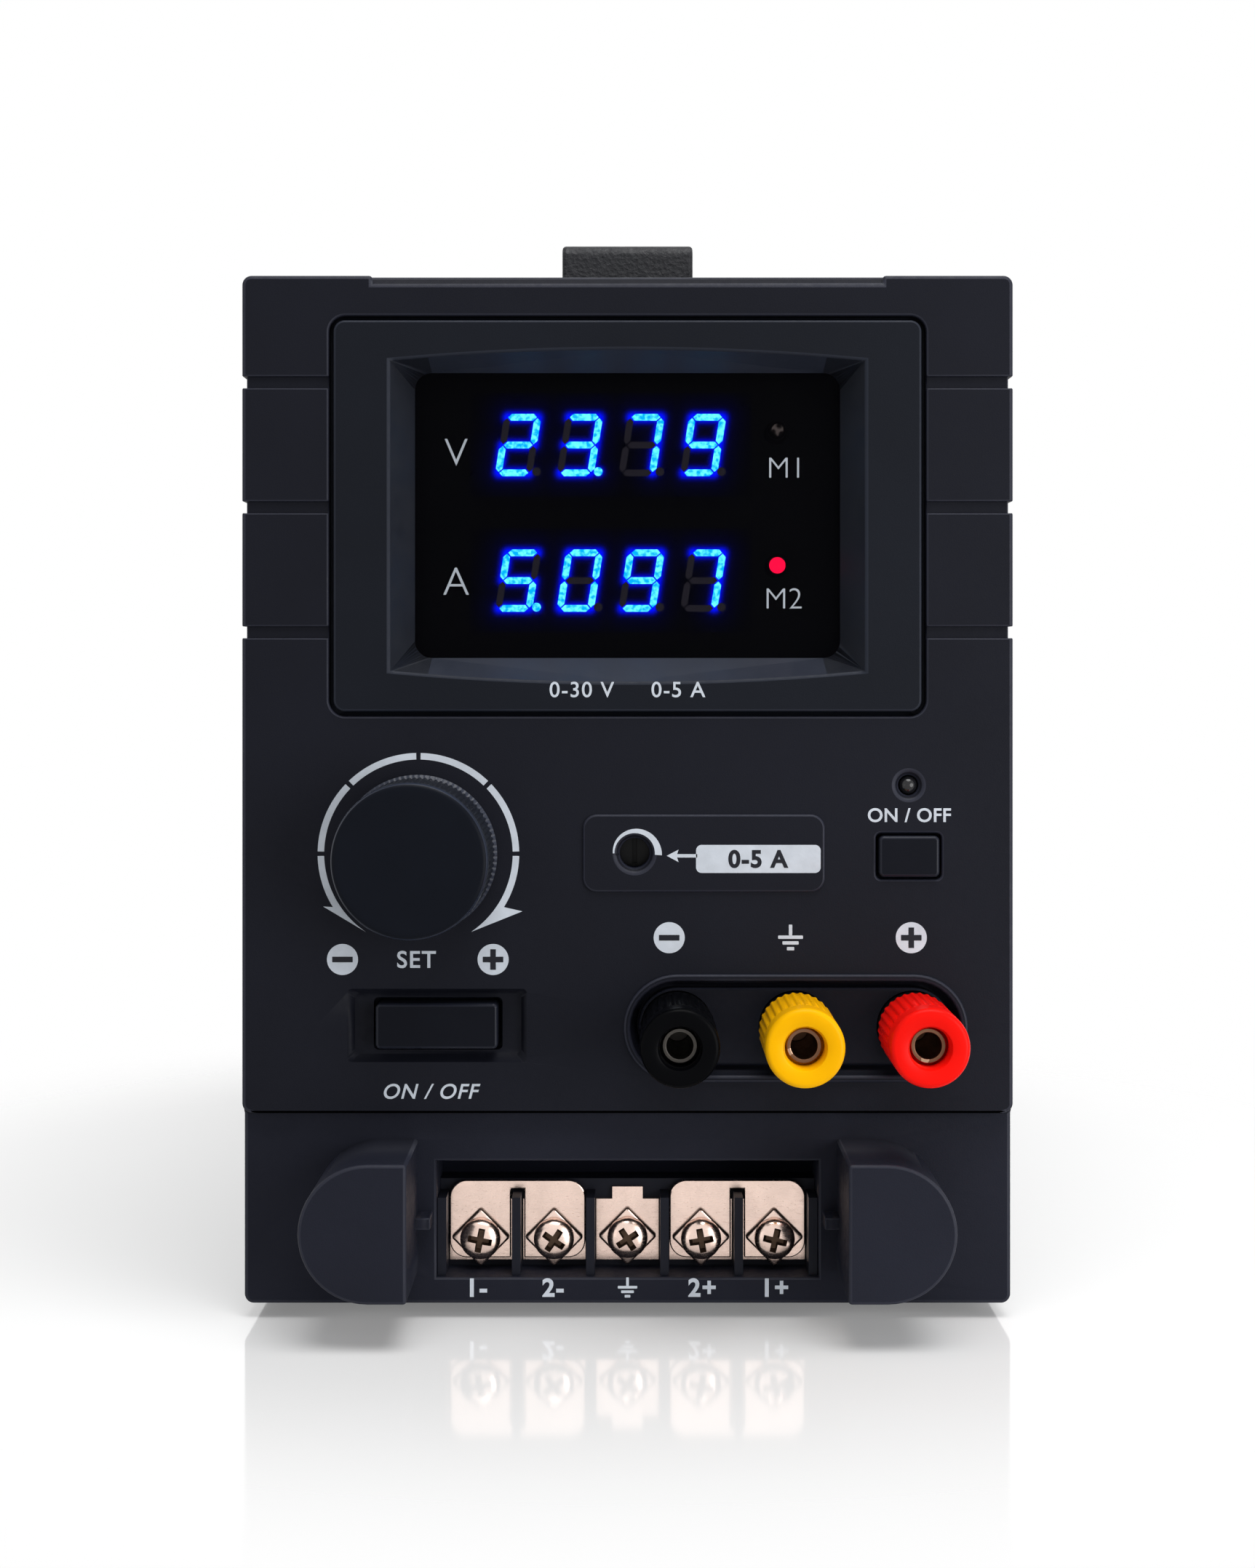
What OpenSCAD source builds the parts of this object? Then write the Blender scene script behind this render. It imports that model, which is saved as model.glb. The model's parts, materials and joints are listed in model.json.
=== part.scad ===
// Bench power supply: moulded front with display, knob, push keys, binding posts and
// sense terminals, on a steel case with a fan, a mains inlet and a strap handle.
// Millimetres. +Z is up, the front looks along -Y, and the origin is under the middle of the box.

/* [Case] */
// Width of the front panel
body_w = 124; // [120:1:150]
// Height of the front panel above the feet
body_h = 166; // [164:1:190]
// Depth from the face of the front panel to the back of the rear panel
body_d = 220; // [210:1:280]
// Height of the rubber feet below the front panel
foot_h = 2.5; // [1.5:0.5:8]
// Diameter of a rubber foot
foot_d = 14; // [8:1:20]
// Distance of a foot's centre from the side of the panel
foot_inset_x = 15; // [12:1:30]
// Distance of a foot's centre from the front and the rear panel
foot_inset_y = 42; // [36:1:60]
// Depth of the skirt of the front panel
panel_d = 24; // [22:1:30]
// Wall of the front panel
panel_wall = 2.5; // [2:0.1:3]
// Corner radius of the front panel
corner_r = 1.5; // [0.5:0.1:2.4]
// How far the steel case stands inside the outline of the front panel
case_inset = 1; // [0.6:0.1:1.2]
// Thickness of the cover's steel
cover_t = 1; // [0.6:0.1:1.2]
// Thickness of the steel of the chassis tray and the rear panel
chassis_t = 1.2; // [0.8:0.1:2]
// Height of the side flanges of the chassis tray
flange_h = 14; // [10:1:24]
// Head diameter of the case screws
case_screw_d = 5.6; // [4:0.1:7]
// Height of the head of the case screws
case_screw_h = 0.9; // [0.5:0.1:0.95]

/* [Front panel forms] */
// Height of the step between the lower section and the upper one
step_z = 31.3; // [30:0.1:33]
// How far the lower section stands back
step_set = 2.5; // [1:0.1:4]
// Width of the side grooves
groove_w = 1.9; // [1:0.1:3]
// Depth of the side grooves
groove_deep = 0.7; // [0.3:0.1:1.2]
// Height of the lowest side groove
groove_first = 108.6; // [104:0.1:112]
// Pitch of the side grooves
groove_pitch = 20.1; // [12:0.1:24]
// Length of the bright chamfer on the top edge
top_chamfer_w = 82; // [40:1:110]
// Size of the chamfer on the top edge
top_chamfer = 1.6; // [0.5:0.1:2]
// Distance of the guard lugs' flat sides from the middle
lug_x = 33.9; // [32.5:0.1:36]
// Width of a guard lug
lug_w = 16.7; // [12:0.1:22]
// Height of a guard lug
lug_h = 21.5; // [16:0.5:24]
// Height of the middle of a guard lug
lug_z = 15.9; // [14:0.1:18]
// How far the lugs stand in front of the panel's face
lug_reach = 18; // [8:0.5:20]
// Length of the small peg beside a lug
peg_l = 2.4; // [1:0.1:2.4]
// Height of the small peg beside a lug
peg_h = 1.9; // [1:0.1:3]

/* [Display] */
// Width of the display bezel
bezel_w = 94.4; // [90:0.1:102]
// Height of the display bezel
bezel_h = 62.8; // [60:0.1:64]
// Height of the middle of the display bezel
bezel_z = 127.3; // [126:0.1:128]
// Gap between the bezel and the panel
bezel_gap = 0.8; // [0.3:0.1:1.5]
// How far the bezel stands proud of the panel
bezel_proud = 0.6; // [0:0.1:1.5]
// Depth of the funnel from the panel's face to the window
bezel_d = 5; // [4:0.1:6]
// Width of the flange that holds the bezel behind the panel
bezel_flange = 2.2; // [1.5:0.1:3]
// Width of the funnel at the front
funnel_w = 76.6; // [74:0.1:84]
// Height of the funnel at the front, at its corners
funnel_h = 50; // [49:0.1:54]
// Crown of the funnel's upper and lower edge
funnel_crown = 1.8; // [0.5:0.1:2.5]
// Visible width of the window
window_w = 69.2; // [66:0.1:72]
// Visible height of the window
window_h = 46.4; // [44:0.1:48]
// Height of the middle of the window above that of the bezel
window_lift = 0.4; // [0:0.1:1]
// Thickness of the window
window_t = 2; // [1.5:0.1:3]
// Digit height of the LED modules
digit_h = 10.2; // [8:0.1:12]
// Pitch of the digits
digit_pitch = 10.1; // [9:0.1:11]
// Offset of the middle of the digits from the middle of the panel
digits_x = -2.75; // [-4:0.05:0]
// Height of the middle of the volts digits above that of the bezel
volts_lift = 12.1; // [10:0.1:14]
// Height of the middle of the amps digits below that of the bezel
amps_drop = 10.1; // [9:0.1:14]
// Depth of an LED module
module_d = 7; // [6:0.1:9]
// Distance of the mode lamps from the middle of the panel
lamps_x = 24.6; // [22:0.1:28]
// Diameter of a lamp
lamp_d = 3; // [2:0.1:4]

/* [Controls] */
// Distance of the knob's axis to the left of the middle
knob_x = 33.6; // [30:0.1:36]
// Height of the knob's axis
knob_z = 73; // [71:0.1:75]
// Front diameter of the knob
knob_front_d = 24; // [20:0.1:26]
// Base diameter of the knob
knob_base_d = 25.5; // [22:0.1:28]
// How far the knob stands in front of the panel
knob_reach = 17; // [14:0.1:22]
// Gap between the knob and the panel
knob_gap = 0.9; // [0.7:0.1:2]
// How far the knob presses in
knob_travel = 0.5; // [0.2:0.1:0.6]
// Diameter of the encoder's shaft
shaft_d = 6; // [4:0.1:6.3]
// Height of the middle of the current-adjust plate
adjust_z = 73.1; // [72:0.1:75]
// Distance of the trimmer's axis from the middle
trimmer_x = 1.15; // [0:0.05:3]
// Diameter of the trimmer's hole
trimmer_hole_d = 4.8; // [4:0.1:5]
// Width of the current-adjust plate
adjust_w = 38.9; // [36:0.1:42]
// Height of the current-adjust plate
adjust_h = 12.5; // [10:0.1:14]
// Height of the plate over the panel
adjust_proud = 0.5; // [0.2:0.1:1]
// Distance of the output button and lamp from the middle
output_x = 45.2; // [44:0.1:47]
// Height of the middle of the output button
output_z = 72.6; // [71:0.1:74]
// Width of the output button
output_w = 9.7; // [7:0.1:11]
// Height of the output button
output_h = 6.6; // [5:0.1:8]
// How far the output button presses in
output_travel = 1; // [0.5:0.1:1.2]
// Height of the output lamp
output_lamp_z = 84; // [82:0.1:86]
// Distance of the power key to the left of the middle
power_x = 30.6; // [29:0.1:32]
// Height of the middle of the power key
power_z = 45.4; // [44.5:0.1:47]
// Width of the power key
power_w = 19.6; // [16:0.1:21]
// Height of the power key
power_h = 7.3; // [6:0.1:8]
// How far the power key presses in
power_travel = 3; // [1.5:0.1:3.2]
// Width of the sunk field round the power key
power_field_w = 28.9; // [27:0.1:31]
// Height of the sunk field round the power key
power_field_h = 11.8; // [11:0.1:13]
// Depth of the sunk field round the power key
power_field_d = 2.2; // [1:0.1:3]

/* [Binding posts] */
// Distance of the middle post from the middle of the panel
post_x = 27; // [26:0.1:28]
// Pitch of the posts
post_pitch = 19; // [17:0.05:20]
// Height of the posts
post_z = 45; // [44.5:0.1:46]
// Diameter of a post's cap
cap_d = 12.2; // [10:0.1:13]
// How far the caps stand in front of the panel
post_reach = 21.5; // [20:0.1:28]
// Diameter of the hole in the front of a cap
cap_hole_d = 6.2; // [6:0.1:7]
// Outer diameter of the stud
stud_d = 5.4; // [5:0.1:5.8]
// Bore of the 4 mm socket in the stud
socket_d = 4.1; // [4.02:0.02:4.2]
// Length of the socket's bore
socket_l = 18; // [12:0.5:24]
// How far the stud stays behind the front of the cap
stud_recess = 3; // [1:0.1:5]
// Number of ribs round a cap
cap_ribs = 30; // [18:1:40]
// Height of the sunk field's floor
field_h = 12.9; // [12.6:0.1:14]
// Depth of the sunk field
field_d = 4; // [2:0.1:5]
// Width of the raised rim and slope round the field's floor
field_rim = 2.2; // [1.5:0.1:3]

/* [Sense terminals] */
// Pitch of the terminals
sense_pitch = 12.05; // [11:0.05:12.1]
// Height of the terminal screws
sense_z = 9.4; // [9.2:0.1:10]
// Height of the lower edge of the terminal field
sense_low = 4.2; // [3.8:0.1:4.4]
// Height of the upper edge of the terminal field
sense_high = 23.1; // [22:0.1:25]
// Depth of the terminal field behind the lower section's face
sense_d = 13; // [12:0.1:15]
// Thickness of the fins between the terminals
fin_t = 1.4; // [1:0.1:2]
// Thickness of the contact plates and the links
plate_t = 0.8; // [0.5:0.1:1]
// Side of a square clamp washer
clamp_side = 6.9; // [6:0.1:6.9]
// Thickness of a square clamp washer
clamp_t = 0.9; // [0.6:0.1:1.2]
// Head diameter of a terminal screw
sense_head_d = 6.6; // [5:0.1:6.6]
// Head height of a terminal screw
sense_head_h = 2.4; // [2:0.1:3]
// Shank diameter of a terminal screw
sense_shank_d = 3.4; // [3:0.1:3.6]

/* [Handle] */
// Width of a handle cap
grip_cap_w = 22.6; // [20:0.1:28]
// Height of a handle cap over the cover
grip_cap_h = 11.4; // [11:0.1:14]
// Length of a handle cap
grip_cap_l = 24; // [20:0.5:30]
// Distance of the caps from the front panel's face and the rear panel
grip_inset = 30; // [26:1:40]
// Width of the strap
strap_w = 19; // [14:0.1:19]
// Thickness of the strap
strap_t = 4; // [3:0.1:4]
// Gap between the strap and the cover
strap_gap = 5.4; // [4.5:0.1:5.6]
// Length of the thick grip in the middle
grip_l = 74; // [50:1:90]
// Thickness of the grip
grip_t = 5.6; // [4.5:0.1:6]

/* [Rear and inside] */
// Side of the fan's frame
fan_side = 60; // [50:1:60]
// Depth of the fan's frame
fan_d = 15; // [12:1:20]
// Distance of the fan's axis from the middle
fan_x = 22; // [18:1:26]
// Height of the fan's axis
fan_z = 108; // [100:1:120]
// Screw pitch of the fan
fan_pitch = 50; // [41:1:51]
// Diameter of the guard's wires
guard_wire = 1.6; // [1:0.1:2]
// Distance of the mains inlet to the left of the middle
inlet_x = 28; // [20:1:36]
// Height of the middle of the mains inlet
inlet_z = 42; // [38:1:50]
// Width of the main board
board_w = 104; // [96:1:106]
// Length of the main board
board_l = 132; // [125:1:136]
// Thickness of the boards
board_t = 1.6; // [1:0.1:2]
// Height of the main board's posts over the tray
board_post_h = 6; // [4:0.5:10]
// Length of the heat sinks
sink_l = 92; // [60:1:100]
// Height of the heat sinks
sink_h = 62; // [40:1:66]
// Diameter of the smoothing capacitors
cap_can_d = 18; // [12:1:20]
// Height of the smoothing capacitors
cap_can_h = 32; // [20:1:40]

/* [Hidden] */
$fn = 64;

// Clearances: a running fit, a loose moving fit and a hair between seated pieces
run_fit = 0.05;
loose_fit = 0.3;
seat_fit = 0.02;
// Overlap that lets a cut pass right through a face
over = 1;

// Main planes. "Out" is the distance in front of the panel's face, and is negative behind it.
rear_reach = 2 * guard_wire;
face_y = post_reach - (post_reach + body_d + rear_reach) / 2;
base_z = foot_h;
panel_back = -panel_wall;
lower_face = -step_set;
case_front = -panel_d;
rear_inside = chassis_t - body_d;
case_half = body_w / 2 - case_inset;
cover_in = case_half - cover_t;
case_top = body_h - case_inset;
cover_top_in = case_top - cover_t;
floor_top = case_inset + chassis_t;

// Display stack behind the panel
flange_t = 2;
bezel_lap = bezel_gap + bezel_flange;
bezel_back = -bezel_d;
window_back = bezel_back - window_t;
window_lap = 3;
module_gap = 0.4;
module_front = window_back - module_gap;
display_front = module_front - module_d;
display_back = display_front - board_t;
display_w = 90;
display_edge = 1;
display_h = bezel_h - 2 * display_edge;
display_boss_d = 5;
display_boss_x = 41.5;
display_boss_z = 27.5;
digits = 4;
digit_edge = 1.3;
lamp_rim = 0.4;
lamp_rim_h = 1;

// Control board behind the panel
encoder_d = 6.5;
encoder_w = 12.6;
control_front = panel_back - encoder_d;
control_back = control_front - board_t;
control_low = 63;
control_high = 91;
control_left = -46;
control_right = 53;
control_boss_x = 18;
control_boss_z = 87;
control_boss_d = 5;
bushing_d = 7;
bushing_out = 4.5;
bushing_nut_h = 1.8;
bushing_nut_d = 11;
rotor_d = 9.4;
rotor_t = 3;
rotor_floor = 1;
key_w = 3;
knob_skirt_d = 18;
knob_skirt_h = 5.2;
knob_chamfer = 0.8;
trimmer_side = 9.5;
trimmer_d = 4.6;
trimmer_rotor_d = 5;
trimmer_rotor_t = 2.6;
tact_side = 7;
tact_d = 4;
tact_plunger_d = 3.5;
key_gap = 0.4;
key_flange = 1.1;
key_flange_t = 1;
output_proud = 0.9;

// Power key and its switch
power_gap = 0.6;
power_floor_back = -power_field_d - panel_wall;
power_proud = 1.2;
power_flange_t = 1.3;
power_flange_back = power_floor_back - loose_fit - power_flange_t;
switch_gap = 0.8;
switch_front = power_flange_back - power_travel - switch_gap;
switch_d = 12;
switch_side = 6;
switch_w = power_w + 2 * switch_side;
switch_h = 13;
switch_boss_d = 4.4;
switch_boss_gap = 4;
switch_boss_x = power_w / 2 + switch_boss_gap;
stem_w = 6;
stem_h = 4;
stem_bite = 2.5;
stem_spare = 2;
switch_slot_d = stem_bite + power_travel + stem_spare;
power_rim = 0.8;

// Binding posts, from left to right
posts = [for (i = [-1:1]) post_x + i * post_pitch];
field_floor = -field_d;
field_back = field_floor - panel_wall;
field_lip = 0.7;
field_lip_w = 1;
collar_step = 0.4;
collar_d = cap_d - 2 * collar_step;
collar_out = 1.5;
bush_d = 8;
post_washer_t = 1;
post_washer_step = 1;
post_washer_d = cap_d - 2 * post_washer_step;
cap_low = collar_out + post_washer_t;
cap_rib_deep = 0.45;
cap_rib_inset = 0.15;
cap_ring_l = 4.5;
cap_step = 2;
stud_out = post_reach - stud_recess;
stud_nut_af = 10;
stud_nut_t = 4;
stud_tail = 5;

// Sense terminals, from left to right
terminals = 5;
middle_terminal = 2;
sense_wall = 1.5;
sense_spare = 0.1;
sense_w = terminals * sense_pitch + fin_t + 2 * sense_spare;
sense_floor = lower_face - sense_d;
block_t = 5;
block_face = sense_floor + block_t;
fin_set = 1.5;
fin_out = lower_face - fin_set;
fin_top = 16.8;
contact_gap = 0.2;
contact_w = sense_pitch - fin_t - 2 * contact_gap;
contact_drop = 4;
contact_low = sense_z - contact_drop;
contact_high = 15.4;
tab_w = 5;
tab_high = 17.4;
link_top = 18.6;
link_r = 2.8;
link_lift = 0.5;
link_spare = 0.4;
link_slot = fin_t + 2 * link_spare;
screw_hole_d = sense_shank_d + loose_fit;
screw_floor = 0.6;
screw_hole_end = sense_floor + screw_floor;
screw_tip = screw_hole_end + loose_fit;
clamp_r = 0.5;
cross_w = 1.2;
cross_rim = 1.2;
cross_l = sense_head_d - 2 * cross_rim;
cross_deep = 1.3;
cross_turn = 20;
function sense_x(i) = (i - middle_terminal) * sense_pitch;
function clamp_low(i) = block_face + (i == middle_terminal ? 1 : 2) * plate_t;

// Handle along the top
handle_mid = -body_d / 2;
cap_front = -grip_inset;
strap_low = case_top + strap_gap;
strap_high = strap_low + strap_t;
strap_bite = 15;
strap_end = cap_front - grip_cap_l + strap_bite;
pocket_spare = 3;
grip_lip = 1.5;
grip_w = strap_w + 2 * grip_lip;
grip_low = strap_low + strap_t / 2 - grip_t / 2;

// Rear panel and inside
fan_edge = 1.5;
fan_bore = fan_side - 2 * fan_edge;
fan_hub_d = 25;
fan_tip = 1.4;
fan_screw_d = 4;
fan_screw_spare = 0.4;
fan_hole_d = fan_screw_d + fan_screw_spare;
fan_base_t = 2.5;
fan_shaft_d = 3;
fan_post_d = 7;
fan_blades = 7;
fan_front = rear_inside + fan_d;
guard_rings = 4;
guard_ring_pitch = 6.6;
guard_eye_d = 8;
guard_head_d = 6.5;
inlet_w = 27;
inlet_h = 19.6;
inlet_wall = 1.3;
inlet_deep = 19;
inlet_flange = 2.4;
inlet_flange_t = 2;
inlet_floor = 2.5;
inlet_pin_w = 4;
inlet_pin_t = 2;
inlet_pin_r = 0.4;
inlet_pin_back = 4.7;
inlet_pin_pitch = 14;
board_low = floor_top + board_post_h;
board_high = board_low + board_t;
board_set = 22;
board_front = case_front - board_set;
board_mid = board_front - board_l / 2;
board_post_d = 6;
board_post_inset = 6;
sink_t = 3;
sink_fin_t = 1.6;
sink_fins = 5;
sink_fin_l = 14;
sink_edge = 3;
sink_x = board_w / 2 - sink_edge - sink_fin_l;
wire_d = 2.4;
lead_inset = 3;
adjust_edge = 8.35;
adjust_x = trimmer_x - adjust_edge + adjust_w / 2;
adjust_r = 2.3;
hole_flare = 0.8;
tub_wall = 1.5;
slot_r = 0.8;
bezel_r = 1.8;
window_r = 2.8;
power_slope = 1;
square_r = 1;
skin = 0.01;

// Shapes that repeat

// Places flat work on the front: X runs right, Y up, and Z out of the panel
module face(x, z, out = 0) {
    translate([x, face_y - out, base_z + z]) rotate([90, 0, 0]) children();
}

// Rounded rectangle about the origin
module rounded(w, h, r) {
    square([w - 2 * r, h], center = true);
    square([w, h - 2 * r], center = true);
    for (sx = [-1, 1], sy = [-1, 1]) translate([sx * (w / 2 - r), sy * (h / 2 - r)]) circle(r);
}

// Rounded plate on the front, between two distances out
module slab(x, z, w, h, r, low, high) {
    face(x, z, low) linear_extrude(high - low) rounded(w, h, r);
}

// Round rod square to the front
module rod(x, z, d, low, high) {
    face(x, z, low) cylinder(d = d, h = high - low);
}

// Flared hole mouth square to the front
module flare(x, z, d, deep, high) {
    face(x, z, high - deep) cylinder(d1 = d, d2 = d + 2 * (deep + over), h = deep + over);
}

// Box between two sides, two distances out and two heights
module block(x0, x1, low, high, z0, z1) {
    translate([x0, face_y - high, base_z + z0]) cube([x1 - x0, high - low, z1 - z0]);
}

// Slot with round ends about the origin, with the length between its end centres
module obround(l, h) {
    square([l, h], center = true);
    for (s = [-1, 1]) translate([s * l / 2, 0]) circle(d = h);
}

// Disc with a ribbed edge
module ribbed(d, ribs, deep) {
    polygon([for (i = [0 : 2 * ribs - 1])
        let (r = d / 2 - (i % 2) * deep, a = 180 * i / ribs) [r * cos(a), r * sin(a)]]);
}

// D-shaped outline of the right-hand lug, from its flat side at the origin
module lug_outline(grow = 0) {
    r = lug_h / 2 + grow;
    mid = lug_w - lug_h / 2;
    intersection() {
        union() {
            translate([mid, 0]) circle(r);
            translate([-grow, -r]) square([mid + grow, 2 * r]);
        }
        translate([-grow, -r]) square([lug_w + 2 * grow, 2 * r]);
    }
}

// Front panel and display

module panel_shell() {
    upper_h = body_h - step_z;
    lower_h = step_z + 2 * panel_wall;
    difference() {
        union() {
            slab(0, step_z + upper_h / 2, body_w, upper_h, corner_r, case_front, 0);
            slab(0, lower_h / 2, body_w, lower_h, corner_r, case_front, lower_face);
        }
        slab(0, step_z + upper_h / 2, body_w - 2 * panel_wall, upper_h - 2 * panel_wall, corner_r,
            case_front - over, panel_back);
        slab(0, lower_h / 2 + panel_wall, body_w - 2 * panel_wall, lower_h, corner_r,
            case_front - over, lower_face - panel_wall);
    }
}

module panel_grooves() {
    inner = bezel_w / 2 + bezel_gap;
    for (i = [0:2], side = [0, 1]) mirror([side, 0, 0]) {
        z = groove_first + i * groove_pitch;
        block(inner, body_w / 2 + over, -groove_deep, over, z - groove_w / 2, z + groove_w / 2);
        block(body_w / 2 - groove_deep, body_w / 2 + over, case_front - over, over,
            z - groove_w / 2, z + groove_w / 2);
    }
}

module panel_tubs() {
    slab(adjust_x, adjust_z, adjust_w, adjust_h, adjust_r, panel_back, adjust_proud);
    slab(-power_x, power_z, power_field_w + 2 * tub_wall, power_field_h + 2 * tub_wall, tub_wall,
        power_floor_back, -skin);
    face(post_x, post_z, field_back) linear_extrude(field_lip - field_back)
        obround(2 * post_pitch, field_h + 2 * field_rim);
    block(-sense_w / 2 - sense_wall, sense_w / 2 + sense_wall, sense_floor - sense_wall,
        lower_face - skin, sense_low - sense_wall, sense_high + sense_wall);
}

module panel_lugs() {
    for (side = [0, 1]) mirror([side, 0, 0]) {
        face(lug_x, lug_z, lower_face - skin) linear_extrude(lug_reach - lower_face + skin) lug_outline();
        block(lug_x - peg_l, lug_x + panel_wall, lower_face - skin, peg_l,
            lug_z - 1.5 * peg_h, lug_z - peg_h / 2);
    }
}

module panel_bosses() {
    for (side = [-1, 1]) {
        rod(side * control_boss_x, control_boss_z, control_boss_d, control_front, panel_back + skin);
        rod(side * switch_boss_x - power_x, power_z, switch_boss_d, switch_front, power_floor_back + skin);
    }
}

// Room behind the panel for the bezel's flange
module bezel_pocket() {
    room = 2 * (bezel_lap + loose_fit);
    slab(0, bezel_z, bezel_w + room, bezel_h + room, bezel_r, panel_back - flange_t - loose_fit, panel_back);
}

module panel_cuts() {
    slab(0, bezel_z, bezel_w + 2 * bezel_gap, bezel_h + 2 * bezel_gap, bezel_r + bezel_gap,
        panel_back - over, over);
    bezel_pocket();
    panel_grooves();
    translate([0, face_y, base_z + body_h]) rotate([45, 0, 0])
        cube([top_chamfer_w, top_chamfer * sqrt(2), top_chamfer * sqrt(2)], center = true);
    rod(-knob_x, knob_z, bushing_d + 2 * run_fit, panel_back - over, over);
    rod(trimmer_x, adjust_z, trimmer_hole_d, panel_back - over, adjust_proud + over);
    flare(trimmer_x, adjust_z, trimmer_hole_d, hole_flare, adjust_proud);
    rod(output_x, output_lamp_z, lamp_d + 4 * run_fit, panel_back - over, over);
    flare(output_x, output_lamp_z, lamp_d + 4 * run_fit, hole_flare, 0);
    slab(output_x, output_z, output_w + 2 * key_gap, output_h + 2 * key_gap, slot_r, panel_back - over, over);
    slab(-power_x, power_z, power_w + 2 * power_gap, power_h + 2 * power_gap, slot_r,
        power_floor_back - over, over);
    hull() {
        slab(-power_x, power_z, power_field_w - 2 * power_slope, power_field_h - 2 * power_slope, slot_r,
            -power_field_d, 0, $fn = 32);
        slab(-power_x, power_z, power_field_w, power_field_h, slot_r, -skin, over, $fn = 32);
    }
    hull() {
        face(post_x, post_z, field_floor) linear_extrude(skin) obround(2 * post_pitch, field_h, $fn = 32);
        face(post_x, post_z, field_lip) linear_extrude(over)
            obround(2 * post_pitch, field_h + 2 * (field_rim - field_lip_w), $fn = 32);
    }
    for (x = posts) rod(x, post_z, bush_d + 2 * run_fit, field_back - over, over);
    block(-sense_w / 2, sense_w / 2, sense_floor, over, sense_low, sense_high);
    for (side = [0, 1]) mirror([side, 0, 0])
        face(lug_x, lug_z, case_front - over) linear_extrude(lug_reach - panel_wall - case_front + over)
            lug_outline(-panel_wall);
}

module front_panel() {
    color("#2a2c31") difference() {
        union() {
            panel_shell();
            panel_tubs();
            panel_lugs();
            panel_bosses();
        }
        panel_cuts();
    }
}

// Front outline of the funnel, with its crowned upper and lower edge
module funnel_outline() {
    r = (pow(funnel_w / 2, 2) + pow(funnel_crown, 2)) / (2 * funnel_crown);
    intersection() {
        square([funnel_w, funnel_h + 2 * funnel_crown], center = true);
        crown_circle(r, 1);
        crown_circle(r, -1);
    }
}

module crown_circle(r, side) {
    translate([0, side * (funnel_h / 2 + funnel_crown - r)]) circle(r, $fn = 480);
}

module display_bezel() {
    color("#2e3036") difference() {
        union() {
            slab(0, bezel_z, bezel_w, bezel_h, bezel_r, bezel_back, bezel_proud);
            slab(0, bezel_z, bezel_w + 2 * bezel_lap, bezel_h + 2 * bezel_lap, bezel_r,
                panel_back - flange_t, panel_back);
            for (sx = [-1, 1], sz = [-1, 1])
                rod(sx * display_boss_x, bezel_z + sz * display_boss_z, display_boss_d,
                    display_front, panel_back);
        }
        hull() {
            face(0, bezel_z, bezel_proud) linear_extrude(skin) funnel_outline();
            face(0, bezel_z + window_lift, bezel_back) linear_extrude(skin)
                rounded(window_w, window_h, window_r, $fn = 32);
        }
        slab(0, bezel_z + window_lift, window_w, window_h, window_r, display_front - over, bezel_back + over);
        face(0, bezel_z, bezel_proud) linear_extrude(over) funnel_outline();
    }
}

module display_window() {
    color("#101218", 0.6)
        slab(0, bezel_z + window_lift, window_w + 2 * window_lap, window_h + 2 * window_lap, window_r,
            window_back, min(bezel_back, panel_back - flange_t));
}

module display_board() {
    color("#1e5a34") slab(0, bezel_z, display_w, display_h, square_r, display_back, display_front);
}

module led_displays() {
    color("#15151a") for (z = [bezel_z + volts_lift, bezel_z - amps_drop])
        slab(digits_x, z, digits * digit_pitch - skin, digit_h + 2 * digit_edge, square_r,
            display_front, module_front);
}

// Round lamp with a domed front and a rim at its foot
module lamp(x, z, low, high) {
    rod(x, z, lamp_d, low, high - lamp_d / 2);
    face(x, z, high - lamp_d / 2) sphere(d = lamp_d);
    rod(x, z, lamp_d + 2 * lamp_rim, low, low + lamp_rim_h);
}

module mode_lamps() {
    color("#c8323c") for (z = [bezel_z + volts_lift, bezel_z - amps_drop])
        lamp(lamps_x, z + digit_h / 4, display_front, module_front);
}

// Controls

module control_board() {
    color("#1e5a34")
        block(control_left, control_right, control_back, control_front, control_low, control_high);
}

rotor_low = control_front + rotor_floor;
cavity_high = rotor_low + rotor_t + 4 * run_fit;
shaft_low = cavity_high + knob_travel + run_fit;
knob_cap_t = 3;
bore_end = knob_reach - knob_cap_t;

module encoder_body() {
    color("#8a8d92") {
        difference() {
            union() {
                slab(-knob_x, knob_z, encoder_w, encoder_w, square_r, control_front, panel_back);
                rod(-knob_x, knob_z, bushing_d, panel_back - skin, bushing_out);
            }
            rod(-knob_x, knob_z, rotor_d + 2 * run_fit, rotor_low, cavity_high);
            rod(-knob_x, knob_z, shaft_d + 2 * run_fit, rotor_low, bushing_out + over);
        }
        difference() {
            face(-knob_x, knob_z, 0) cylinder(d = bushing_nut_d, h = bushing_nut_h, $fn = 6);
            rod(-knob_x, knob_z, bushing_d + 2 * run_fit, -over, bushing_nut_h + over);
        }
    }
}

module encoder_rotor() {
    side = key_w + 4 * run_fit;
    low = rotor_low + 2 * run_fit;
    color("#d8d2c0") difference() {
        rod(-knob_x, knob_z, rotor_d, low, low + rotor_t);
        block(-knob_x - side / 2, -knob_x + side / 2, low - over, low + rotor_t + over,
            knob_z - side / 2, knob_z + side / 2);
    }
}

module encoder_shaft() {
    tail_low = rotor_low + knob_travel + 4 * run_fit;
    color("#b8bbc0") {
        rod(-knob_x, knob_z, shaft_d, shaft_low, bore_end);
        block(-knob_x - key_w / 2, -knob_x + key_w / 2, tail_low, shaft_low + skin,
            knob_z - key_w / 2, knob_z + key_w / 2);
    }
}

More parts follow.
